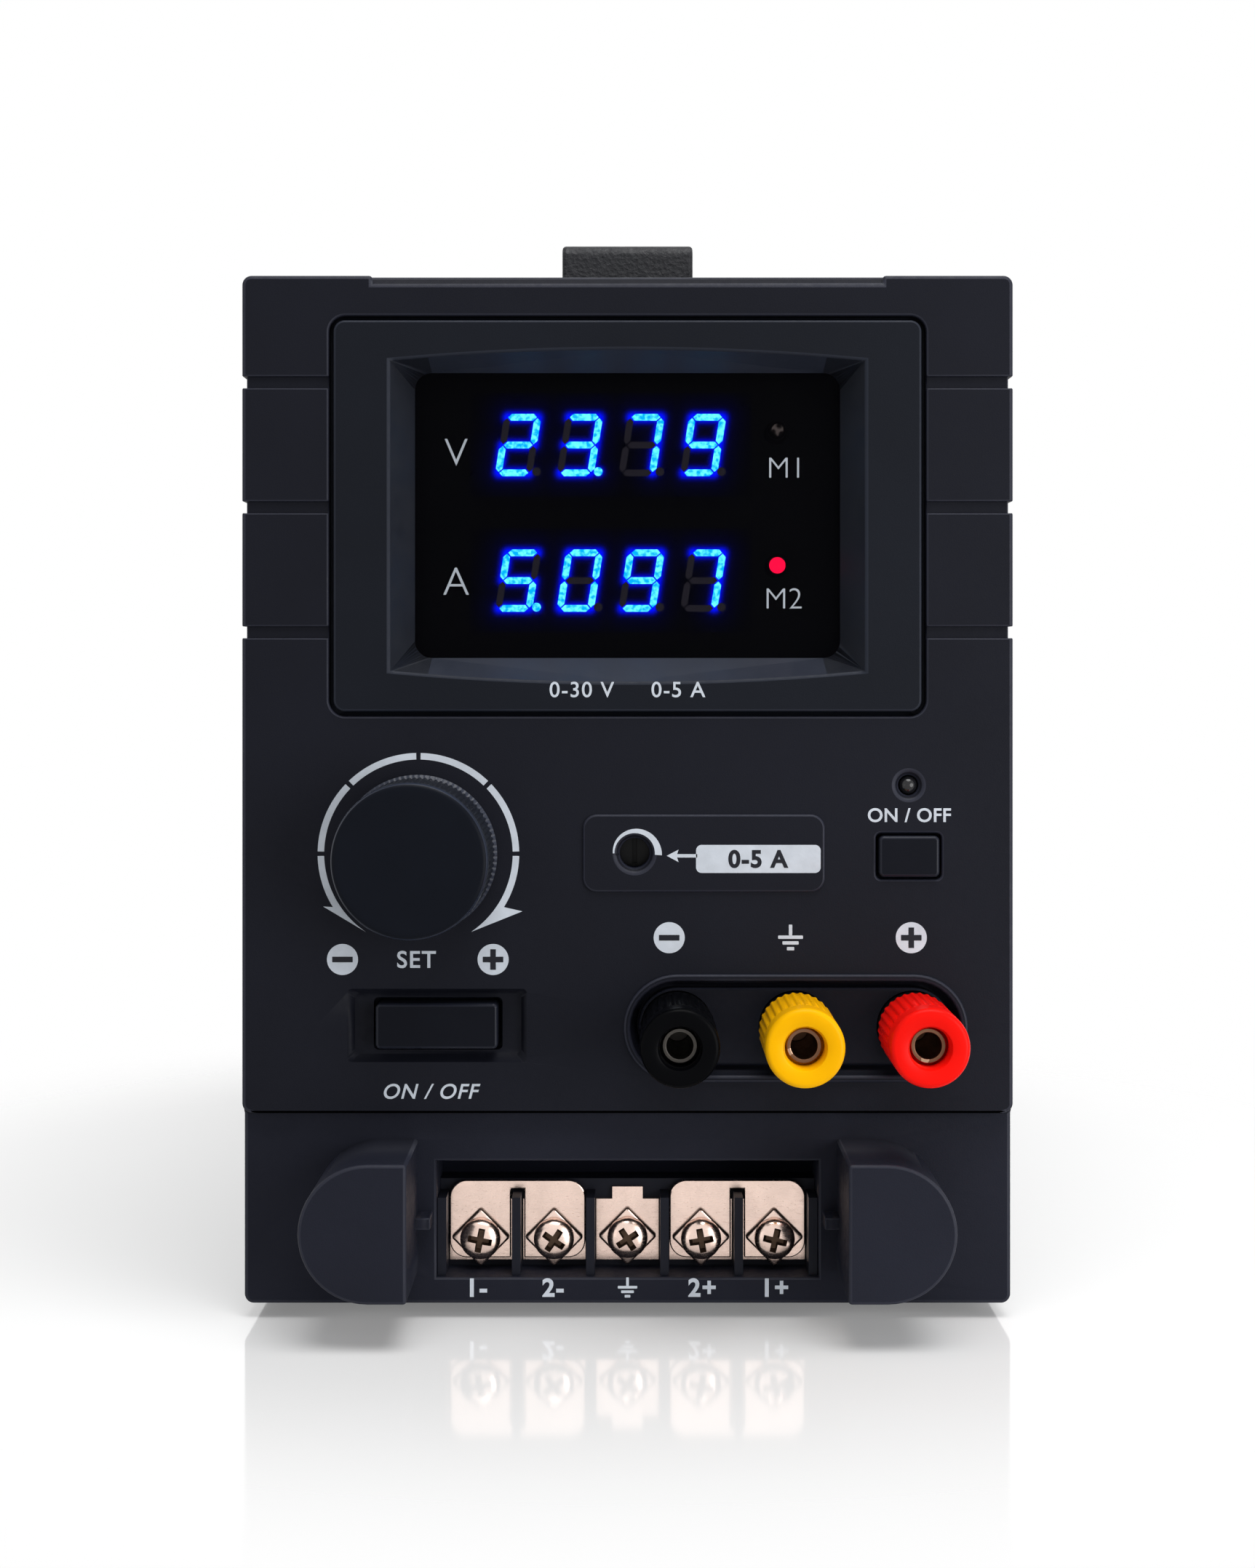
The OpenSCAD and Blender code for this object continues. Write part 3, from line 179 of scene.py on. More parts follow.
class SupplyWords(bpy.types.PropertyGroup):
    """Generic words of the legend"""

    volts: word("Volts", "Sign beside the upper digits", "V")
    amps: word("Amps", "Sign beside the lower digits", "A")
    mode_one: word("Upper mode", "Sign under the upper lamp", "M1")
    mode_two: word("Lower mode", "Sign under the lower lamp", "M2")
    range: word("Range", "Range under the window", "0-30 V     0-5 A")
    knob: word("Knob", "Word under the knob", "SET")
    trimmer: word("Trimmer", "Word on the pale plate", "0-5 A")
    output: word("Output", "Word over the output button", "ON / OFF")
    power: word("Power", "Word under the power key", "ON / OFF")
    sense_one: word("Terminal 1", "Sign under the first terminal", "1-")
    sense_two: word("Terminal 2", "Sign under the second terminal", "2-")
    sense_three: word("Terminal 4", "Sign under the fourth terminal", "2+")
    sense_four: word("Terminal 5", "Sign under the fifth terminal", "1+")


class SupplyStage(bpy.types.PropertyGroup):
    """Camera and light"""

    distance: length("Distance", "Distance of the camera from the panel's face", 0.380, high=10)
    height: length("Height", "Height of the camera over the foot of the panel", 0.1015)
    lens: amount("Lens", "Focal length in millimetres", 54.27, 10, 300, "CAMERA")
    shift: amount("Shift", "Upward shift of the frame, as a share of its longer side", -0.0686, -1, 1)
    key: amount("Key", "Power of the light overhead in watts", 6.5, 0, 1000, "POWER")
    fill: amount("Fill", "Power that the two side lights take their shares of", 2.6, 0, 1000, "POWER")
    ambient: amount("Ambient", "Strength of the room's light", 0.31, 0, 5)


# Finishes


def new_finish(name, colour, roughness, metallic=0.0, specular=0.25):
    """A material with one principled shader."""
    material = bpy.data.materials.new(name)
    material.use_nodes = True
    material.diffuse_color = (*colour, 1.0)
    sockets = material.node_tree.nodes["Principled BSDF"].inputs
    sockets["Base Color"].default_value = (*colour, 1.0)
    sockets["Roughness"].default_value = roughness
    sockets["Metallic"].default_value = metallic
    sockets["Specular IOR Level"].default_value = specular
    return material


def add_node(material, kind, values=(), **options):
    """A node of a material or a world, with its options and the values of its sockets."""
    made = material.node_tree.nodes.new("ShaderNode" + kind)
    for key, value in options.items():
        setattr(made, key, value)
    for socket, value in dict(values).items():
        made.inputs[socket].default_value = value
    return made


def connect(material, output, socket):
    """A link from an output to a named socket of the principled shader, or to any other socket."""
    if isinstance(socket, str):
        socket = material.node_tree.nodes["Principled BSDF"].inputs[socket]
    material.node_tree.links.new(output, socket)


def place(material, stretch=(1, 1, 1)):
    """Object coordinates, stretched."""
    coordinates = add_node(material, "TexCoord")
    mapping = add_node(material, "Mapping", {"Scale": stretch})
    connect(material, coordinates.outputs["Object"], mapping.inputs["Vector"])
    return mapping.outputs["Vector"]


def noise(material, scale, detail=2.0, stretch=(1, 1, 1)):
    """Noise over the surface; the scale is in features per metre."""
    texture = add_node(material, "TexNoise", {"Scale": scale, "Detail": detail, "Roughness": 0.55})
    connect(material, place(material, stretch), texture.inputs["Vector"])
    return texture.outputs["Fac"]


def cells(material, scale, feature="F1"):
    """Cells over the surface; the scale is in cells per metre."""
    texture = add_node(material, "TexVoronoi", {"Scale": scale}, feature=feature)
    connect(material, place(material), texture.inputs["Vector"])
    return texture.outputs["Distance"]


def mottle(material, colour, amount, pattern):
    """Light and dark patches of the colour, by a pattern."""
    ramp = add_node(material, "ValToRGB")
    for element, place_at, factor in zip(ramp.color_ramp.elements, (0.3, 0.7), (1 - amount, 1 + amount)):
        element.position = place_at
        element.color = (*(min(1.0, c * factor) for c in colour), 1.0)
    connect(material, pattern, ramp.inputs["Fac"])
    connect(material, ramp.outputs["Color"], "Base Color")


def vary_gloss(material, low, high, pattern):
    """Roughness between two values, by a pattern."""
    spread = add_node(material, "MapRange", {"From Min": 0.3, "From Max": 0.7, "To Min": low, "To Max": high})
    connect(material, pattern, spread.inputs["Value"])
    connect(material, spread.outputs["Result"], "Roughness")


def emboss(material, height, *patterns):
    """Relief of a height, from the sum of one or more patterns."""
    total = patterns[0]
    for pattern in patterns[1:]:
        both = add_node(material, "Math", operation="ADD")
        connect(material, total, both.inputs[0])
        connect(material, pattern, both.inputs[1])
        total = both.outputs["Value"]
    bump = add_node(material, "Bump", {"Strength": 1.0, "Distance": height})
    connect(material, total, bump.inputs["Height"])
    connect(material, bump.outputs["Normal"], "Normal")


def moulded_plastic(name, colour, grain=0.022 * MM, specular=0.09):
    """Matte plastic from a spark-eroded mould."""
    material = new_finish(name, colour, 0.5, specular=specular)
    mottle(material, colour, 0.10, noise(material, 45, 4.0))
    vary_gloss(material, 0.46, 0.58, noise(material, 900, 3.0))
    emboss(material, grain, noise(material, 3600, 3.0))
    return material


def satin_plastic(name, colour, specular=0.12, gloss=(0.26, 0.36)):
    """Smooth plastic from a polished mould."""
    material = new_finish(name, colour, 0.3, specular=specular)
    mottle(material, colour, 0.06, noise(material, 120, 3.0))
    vary_gloss(material, *gloss, noise(material, 300, 4.0))
    emboss(material, 0.004 * MM, noise(material, 2200, 2.0))
    return material


def powder_coat(name, colour):
    """Baked powder paint with its orange peel."""
    material = new_finish(name, colour, 0.45, specular=0.12)
    mottle(material, colour, 0.08, noise(material, 60, 3.0))
    vary_gloss(material, 0.38, 0.5, noise(material, 700, 2.0))
    emboss(material, 0.04 * MM, noise(material, 1500, 2.0))
    return material


def plated_metal(name, colour, gloss=(0.16, 0.30)):
    """Plated metal with faint handling marks."""
    material = new_finish(name, colour, 0.2, metallic=1.0, specular=0.5)
    mottle(material, colour, 0.07, noise(material, 260, 4.0))
    vary_gloss(material, *gloss, noise(material, 900, 5.0, (1, 1, 4)))
    emboss(material, 0.006 * MM, noise(material, 1400, 3.0))
    return material


def zinc_sheet(name, colour):
    """Zinc-plated sheet with its spangle."""
    material = new_finish(name, colour, 0.4, metallic=1.0, specular=0.5)
    mottle(material, colour, 0.16, cells(material, 190))
    vary_gloss(material, 0.3, 0.5, noise(material, 400, 3.0))
    return material


def soft_rubber(name, colour):
    """Rubber with a dull skin."""
    material = new_finish(name, colour, 0.8, specular=0.2)
    mottle(material, colour, 0.12, noise(material, 150, 4.0))
    vary_gloss(material, 0.72, 0.88, noise(material, 600, 2.0))
    emboss(material, 0.015 * MM, noise(material, 2600, 2.0))
    return material


def leather_grain(name, colour):
    """Plastic with a pressed leather grain."""
    material = new_finish(name, colour, 0.5, specular=0.3)
    mottle(material, colour, 0.12, noise(material, 90, 3.0))
    vary_gloss(material, 0.42, 0.6, noise(material, 1100, 2.0))
    emboss(material, 0.12 * MM, cells(material, 1150), noise(material, 2400, 2.0))
    return material


def circuit_board(name, colour):
    """Solder resist over copper tracks."""
    material = new_finish(name, colour, 0.35, specular=0.4)
    tracks = add_node(material, "TexBrick", {"Scale": 150.0, "Mortar Size": 0.012})
    tracks.inputs["Color1"].default_value = (*colour, 1.0)
    tracks.inputs["Color2"].default_value = (*(c * 0.8 for c in colour), 1.0)
    tracks.inputs["Mortar"].default_value = (*(min(1.0, c * 2.2) for c in colour), 1.0)
    connect(material, place(material), tracks.inputs["Vector"])
    connect(material, tracks.outputs["Color"], "Base Color")
    vary_gloss(material, 0.28, 0.42, noise(material, 500, 2.0))
    return material


def printed_ink(name, colour):
    """Screen-printed ink, a little uneven."""
    material = new_finish(name, colour, 0.55, specular=0.2)
    mottle(material, colour, 0.07, noise(material, 420, 4.0))
    emboss(material, 0.01 * MM, noise(material, 3200, 2.0))
    return material


def smoked_acrylic(name, colour, share):
    """Dark see-through acrylic with a polished face, of which a share hides what lies behind."""
    material = new_finish(name, colour, 0.14, specular=0.02)
    material.node_tree.nodes["Principled BSDF"].inputs["Alpha"].default_value = share
    mottle(material, colour, 0.03, noise(material, 80, 2.0))
    return material


def lit(material, colour, strength):
    """Makes a finish shine by itself."""
    shader = material.node_tree.nodes["Principled BSDF"]
    shader.inputs["Emission Color"].default_value = (*colour, 1.0)
    shader.inputs["Emission Strength"].default_value = strength
    return material


def shimmer(material, dim, bright, pattern):
    """Makes the shine of a lit finish run between two colours, by a pattern."""
    ramp = add_node(material, "ValToRGB")
    for element, place_at, colour in zip(ramp.color_ramp.elements, (0.38, 0.62), (dim, bright)):
        element.position = place_at
        element.color = (*colour, 1.0)
    connect(material, pattern, ramp.inputs["Fac"])
    connect(material, ramp.outputs["Color"], "Emission Color")


# Shapes

WELD = 0.02 * MM
FLAT = math.radians(0.6)
SHARP = math.radians(28)
CREASE = math.radians(35)
CAP_SHARE = 0.682


def make_piece(name, bm, finishes, body, stands_for=(), crease=CREASE):
    """An object from a bmesh, riding on a body, if it has one, and standing for CAD nodes."""
    mesh = bpy.data.meshes.new(name)
    bm.normal_update()
    bm.to_mesh(mesh)
    bm.free()
    for finish in finishes:
        mesh.materials.append(finish)
    mesh.shade_smooth()
    mesh.set_sharp_from_angle(angle=crease)
    piece = bpy.data.objects.new(name, mesh)
    bpy.context.scene.collection.objects.link(piece)
    if body:
        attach(piece, body)
    if stands_for:
        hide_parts(*stands_for)
    return piece


def gather(parts):
    """One shape from several."""
    whole = bmesh.new()
    for part in parts:
        mesh = bpy.data.meshes.new("part")
        part.to_mesh(mesh)
        part.free()
        whole.from_mesh(mesh)
        bpy.data.meshes.remove(mesh)
    return whole


def cad_copy(node, cuts=()):
    """A CAD node's mesh, welded and with its flat faces joined, but cut at heights through its holes."""
    bm = bmesh.new()
    bm.from_mesh(frame["nodes"][node].data)
    bmesh.ops.remove_doubles(bm, verts=bm.verts, dist=WELD)
    for height in cuts:
        made = bmesh.ops.bisect_plane(
            bm,
            geom=bm.verts[:] + bm.edges[:] + bm.faces[:],
            dist=WELD / 4,
            plane_co=(0, 0, FOOT_Z + height),
            plane_no=(0, 0, 1),
        )
        for part in made["geom_cut"]:
            if isinstance(part, bmesh.types.BMEdge):
                part.seam = True
    bmesh.ops.dissolve_limit(bm, angle_limit=FLAT, verts=bm.verts, edges=bm.edges, delimit={"SEAM"})
    bm.normal_update()
    return bm


def to_front(point):
    """A point of the frame as seen from the front."""
    return Vector((point.x, point.z - FOOT_Z, FACE_Y - point.y))


def rounded_copy(
    name, node, finish, width, segments=3, cuts=(), others=(), where=None, edge_highlight_finish=None
):
    """A copy of a CAD node with rounded edges.

    The width is a length, or a function that gives it for an edge's middle, seen from the front, and
    the edge. The function where gives the finish for a face's middle, seen from the front: 0 for the
    first, and then the others in turn. The rounded edges may get a finish of their own, a paler one that
    paints a highlight on them.
    """
    bm = cad_copy(node, cuts)
    weight = bm.edges.layers.float.new("bevel_weight_edge")
    widths = {}
    for edge in bm.edges:
        if len(edge.link_faces) == 2 and edge.calc_face_angle(0) > SHARP:
            middle = to_front((edge.verts[0].co + edge.verts[1].co) / 2)
            widths[edge] = width(middle, edge) if callable(width) else width
    widest = max(widths.values())
    for edge, wide in widths.items():
        edge[weight] = wide / widest
    for face in bm.faces:
        face.material_index = int(where(to_front(face.calc_center_median()))) if where else 0
    finishes = [item for item in (finish, *others, edge_highlight_finish) if item]
    piece = make_piece(name, bm, finishes, body_of(node), [node])
    bevel = piece.modifiers.new("Rounded edges", "BEVEL")
    bevel.limit_method = "WEIGHT"
    bevel.width = widest
    bevel.segments = segments
    bevel.use_clamp_overlap = False
    bevel.loop_slide = False
    if edge_highlight_finish:
        bevel.material = len(finishes) - 1
    shading = piece.modifiers.new("Even shading", "WEIGHTED_NORMAL")
    shading.keep_sharp = True
    shading.weight = 100
    return piece


def body_of(node):
    """The body that a CAD node rides on."""
    return frame["nodes"][node]["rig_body"]


def paint(finish, *nodes):
    """A finish on CAD nodes that keep their shape."""
    for node in nodes:
        materials = frame["nodes"][node].data.materials
        materials.clear()
        materials.append(finish)


def turned(profile, steps, place, ribs=0, ribbed=(), deep=0.0):
    """An outline of (radius, height) points, closed or ending on the axis, spun about the Z axis of a place.

    Ribs of a depth go round the points of the ribbed stretch: its lower and upper height and least radius.
    """
    bm = bmesh.new()
    loop = [bm.verts.new((radius, 0, height)) for radius, height in profile]
    on_axis = profile[0][0] == 0 and profile[-1][0] == 0
    edges = [bm.edges.new((loop[i], loop[i - 1])) for i in range(int(on_axis), len(loop))]
    bmesh.ops.spin(
        bm,
        geom=loop + edges,
        axis=(0, 0, 1),
        cent=(0, 0, 0),
        angle=2 * math.pi,
        steps=steps,
        use_merge=True,
    )
    bmesh.ops.remove_doubles(bm, verts=bm.verts, dist=WELD / 4)
    bmesh.ops.recalc_face_normals(bm, faces=bm.faces)
    if ribs:
        outer = max(radius for radius, _ in profile)
        lowest, highest, inner = ribbed
        for vert in bm.verts:
            radius = math.hypot(vert.co.x, vert.co.y)
            if lowest <= vert.co.z <= highest and radius > inner:
                wave = 0.5 - 0.5 * math.cos(ribs * math.atan2(vert.co.y, vert.co.x))
                shrink = 1 - deep * wave / outer
                vert.co.x *= shrink
                vert.co.y *= shrink
    bm.transform(place)
    return bm


def on_front(at):
    """The place on the front over a point."""
    return FRONT @ Matrix.Translation((at.x, at.y, 0))


def cross_screw(place, head, shank, turn, finishes):
    """A pan-head screw with a cross recess.

    Head and shank are (radius, length), and the screw's seat is at height 0.
    """
    wide, tall = head
    slim, long = shank
    brim = 0.38 * tall
    edge = 0.1 * MM
    tip = 3 * edge
    narrow = 0.55
    profile = [(0, -long), (slim - tip, -long), (slim, tip - long), (slim, 0), (wide - edge, 0), (wide, edge)]
    dome = arc_points((0, 0), 1, 0, 90, 10)
    profile += [(wide * x**0.8, brim + (tall - brim) * y**0.9) for x, y in dome[:-1]] + [(0, tall)]
    body = turned(profile, 48, Matrix.Identity(4))
    tool = bmesh.new()
    arm = Matrix.Diagonal((1.62 * wide, 0.43 * wide, 1.08 * tall, 1))
    for side in (turn, turn + math.pi / 2):
        at = Matrix.Translation((0, 0, tall)) @ Matrix.Rotation(side, 4, "Z") @ arm
        made = bmesh.ops.create_cube(tool, size=1, matrix=at)
        low = [vert for vert in made["verts"] if vert.co.z < tall]
        bmesh.ops.scale(tool, verts=low, vec=(narrow, narrow, 1))
    # The recess's faces take the second finish, a darker one that paints the shade in the recess.
    bm = cut(body, tool, finishes)
    bm.transform(place)
    return bm


def arc_points(centre, radius, start, end, steps):
    """Points on an arc in (radius, height), angles in degrees."""
    turn = [math.radians(start + (end - start) * i / steps) for i in range(steps + 1)]
    return [(centre[0] + radius * math.cos(a), centre[1] + radius * math.sin(a)) for a in turn]


def flat_outline(bm, points):
    """A flat face through points."""
    return bm.faces.new([bm.verts.new((x, y, 0)) for x, y in points])


def flat_band(bm, inside, outside):
    """Flat faces between two rows of points."""
    low = [bm.verts.new((x, y, 0)) for x, y in inside]
    high = [bm.verts.new((x, y, 0)) for x, y in outside]
    for i in range(len(low) - 1):
        bm.faces.new((low[i], low[i + 1], high[i + 1], high[i]))


def rounded_outline(centre, w, h, r, steps=8):
    """Points of a rounded rectangle."""
    points = []
    for sx, sy, start in ((1, 1, 0), (-1, 1, 90), (-1, -1, 180), (1, -1, 270)):
        corner = (centre[0] + sx * (w / 2 - r), centre[1] + sy * (h / 2 - r))
        points += arc_points(corner, r, start, start + 90, steps)
    return points


def thicken(bm, thick, out):
    """Gives flat work a thickness and sets it on the front at a distance out."""
    bmesh.ops.recalc_face_normals(bm, faces=bm.faces)
    for face in bm.faces:
        if face.normal.z < 0:
            face.normal_flip()
    made = bmesh.ops.extrude_face_region(bm, geom=bm.faces[:], use_keep_orig=True)
    raised = [item for item in made["geom"] if isinstance(item, bmesh.types.BMVert)]
    bmesh.ops.translate(bm, verts=raised, vec=(0, 0, thick))
    bmesh.ops.recalc_face_normals(bm, faces=bm.faces)
    bm.transform(FRONT @ Matrix.Translation((0, 0, out)))


def soften_front(bm, front, width):
    """Rounds the edges of a flat piece's front face."""
    bm.normal_update()
    rim = []
    for edge in bm.edges:
        at_front = all(abs(to_front(vert.co).z - front) < WELD for vert in edge.verts)
        if at_front and edge.calc_face_angle(0) > SHARP:
            rim.append(edge)
    bmesh.ops.bevel(
        bm,
        geom=rim,
        offset=width,
        affect="EDGES",
        segments=3,
        profile=0.5,
        material=-1,
    )


def letters(bm, text, centre, cap_h, bold=0.0, thin=0.0, shear=0.0, spacing=1.0):
    """Adds flat letters of a cap height about a point."""
    curve = bpy.data.curves.new("letters", "FONT")
    curve.body = text
    curve.align_x = "CENTER"
    curve.offset = bold - thin
    curve.shear = shear
    curve.space_character = spacing
    holder = bpy.data.objects.new("letters", curve)
    bpy.context.scene.collection.objects.link(holder)
    flat = bpy.data.meshes.new_from_object(holder.evaluated_get(bpy.context.evaluated_depsgraph_get()))
    bpy.data.objects.remove(holder)
    bpy.data.curves.remove(curve)
    xs = [v.co.x for v in flat.vertices]
    scale = cap_h / CAP_SHARE
    middle = Vector(((max(xs) + min(xs)) / 2, CAP_SHARE / 2, 0))
    place = Matrix.Translation((centre[0], centre[1], 0))
    flat.transform(place @ Matrix.Scale(scale, 4) @ Matrix.Translation(-middle))
    bm.from_mesh(flat)
    bpy.data.meshes.remove(flat)


def cut(bm, tool, finishes):
    """The first shape less the second; the faces of the cut get the second finish."""
    holders = []
    for index, shape in enumerate((bm, tool)):
        for face in shape.faces:
            face.material_index = index
        mesh = bpy.data.meshes.new("cut")
        for finish in finishes:
            mesh.materials.append(finish)
        shape.to_mesh(mesh)
        shape.free()
        holder = bpy.data.objects.new("cut", mesh)
        bpy.context.scene.collection.objects.link(holder)
        holders.append(holder)
    modifier = holders[0].modifiers.new("Cut", "BOOLEAN")
    modifier.operation = "DIFFERENCE"
    modifier.solver = "EXACT"
    modifier.use_self = True
    modifier.object = holders[1]
    left = bpy.data.meshes.new_from_object(holders[0].evaluated_get(bpy.context.evaluated_depsgraph_get()))
    result = bmesh.new()
    result.from_mesh(left)
    for mesh in (left, *(holder.data for holder in holders)):
        bpy.data.meshes.remove(mesh)
    return result


# Operators


def settings(context):
    """The property groups: colours, sizes, words and stage."""
    scene = context.scene
    return scene.supply_colours, scene.supply_sizes, scene.supply_words, scene.supply_stage


def tone(colour, factor):
    """A colour made lighter or darker."""
    return [factor * c for c in colour]


class SUPPLY_OT_front_panel(bpy.types.Operator):
    """Moulds the front panel and the display bezel with soft edges"""

    bl_idname = "supply.front_panel"
    bl_label = "Front panel"

    # Paler edge finishes paint a highlight on the rounded edges of the panel and the bezel.
    EDGE_HIGHLIGHT_TONE = 2.3
    RIM = 1.0 * MM

    def execute(self, context):
        colours, sizes, _, _ = settings(context)
        self.add_panel(colours.panel, sizes)
        self.add_bezel(colours.bezel, sizes)
        return {"FINISHED"}

    def add_panel(self, colour, sizes):
        """The panel, with painted light making it paler below its step, and a painted highlight on its edges.
        """
        low, high = front_box("front_panel")
        key = front_middle("power_button")
        key_reach = (16.0 * MM, 8.0 * MM)
        groove = 1.2 * MM
        groove_first = 108.6 * MM
        groove_pitch = 20.1 * MM
        lug_side = 32.0 * MM
        lug_top = 28.0 * MM
        rib = (12.1 * MM, 15.6 * MM)
        rib_reach = 1.5 * MM
        step = (30.8 * MM, 33.2 * MM)
        step_side = 60.3 * MM
        step_out = -1.5 * MM
        seat = -2.6 * MM
        hole_heights = (10.5, 30.8, 45.0, 73.0, 84.0, 118.6)

        def in_groove(middle):
            """Whether a point lies in one of the three side grooves."""
            return any(abs(middle.y - groove_first - i * groove_pitch) < groove for i in range(3))

        def panel_edge(middle, edge):
            """Wide outside and on the lugs, fine at grooves and fields, sharp by the power key and inside."""
            if not edge.is_convex:
                return 0.0
            outside = abs(middle.x) > high.x - self.RIM or not low.y + self.RIM < middle.y < high.y - self.RIM
            on_rib = rib[0] < middle.y < rib[1] and abs(abs(middle.x) - lug_side) < rib_reach
            at_step = step[0] < middle.y < step[1] and abs(middle.x) > step_side and middle.z < step_out
            by_key = abs(middle.x - key.x) < key_reach[0] and abs(middle.y - key.y) < key_reach[1]
            if at_step or by_key:
                return 0.0
            if in_groove(middle) or on_rib:
                return sizes.groove_round
            if outside:
                return sizes.panel_round
            if middle.z > self.RIM and middle.y < lug_top and abs(middle.x) > lug_side:
                return sizes.lug_round
            return sizes.field_round if middle.z > seat else 0.0

        # Below the step the plastic is painted paler: painted light for the better-lit lower section.
        lower = moulded_plastic("Lower plastic", tone(colour, 1.7))
        rounded_copy(
            "front_panel_shell",
            "front_panel",
            moulded_plastic("Panel plastic", colour),
            panel_edge,
            others=(lower,),
            where=lambda middle: middle.y < step[0],
            edge_highlight_finish=moulded_plastic("Panel edges", tone(colour, self.EDGE_HIGHLIGHT_TONE), specular=0.2),
            cuts=[height * MM for height in hole_heights],
        )

    def add_bezel(self, colour, sizes):
        """The bezel, with painted light on the slopes round its window and a painted highlight on its edges.
        """
        slope = (-5.0 * MM, 0.4 * MM)
        slope_middle = 127.3 * MM
        slope_reach = (44.0 * MM, 29.0 * MM)
        flank = 33.0 * MM
        hole_height = 118.6 * MM

        def bezel_edge(middle, edge):
            """Rounded at the front and sharp behind it."""
            return sizes.field_round if edge.is_convex and middle.z > -self.RIM else 0.0

        def bezel_finish(middle):
            """One finish, much paler, for the slopes above and below the window, and one, a little paler, for
            those beside it: painted light.
            """
            across, up = slope_reach
            sloping = slope[0] < middle.z < slope[1] and abs(middle.y - slope_middle) < up
            if not sloping or abs(middle.x) > across:
                return 0
            return 1 if abs(middle.x) < flank else 2

        # The slopes are painted lighter where light falls on them: much lighter above and below the window, a
        # little beside it.
        slopes = [
            satin_plastic(name, tone(colour, factor), specular=0.3, gloss=(0.4, 0.5))
            for name, factor in (("Funnel plastic", 2.9), ("Funnel flanks", 1.1))
        ]
        rounded_copy(
            "display_frame",
            "display_bezel",
            moulded_plastic("Bezel plastic", colour),
            bezel_edge,
            others=slopes,
            where=bezel_finish,
            edge_highlight_finish=moulded_plastic("Bezel edges", tone(colour, self.EDGE_HIGHLIGHT_TONE), specular=0.16),
            cuts=[hole_height],
        )


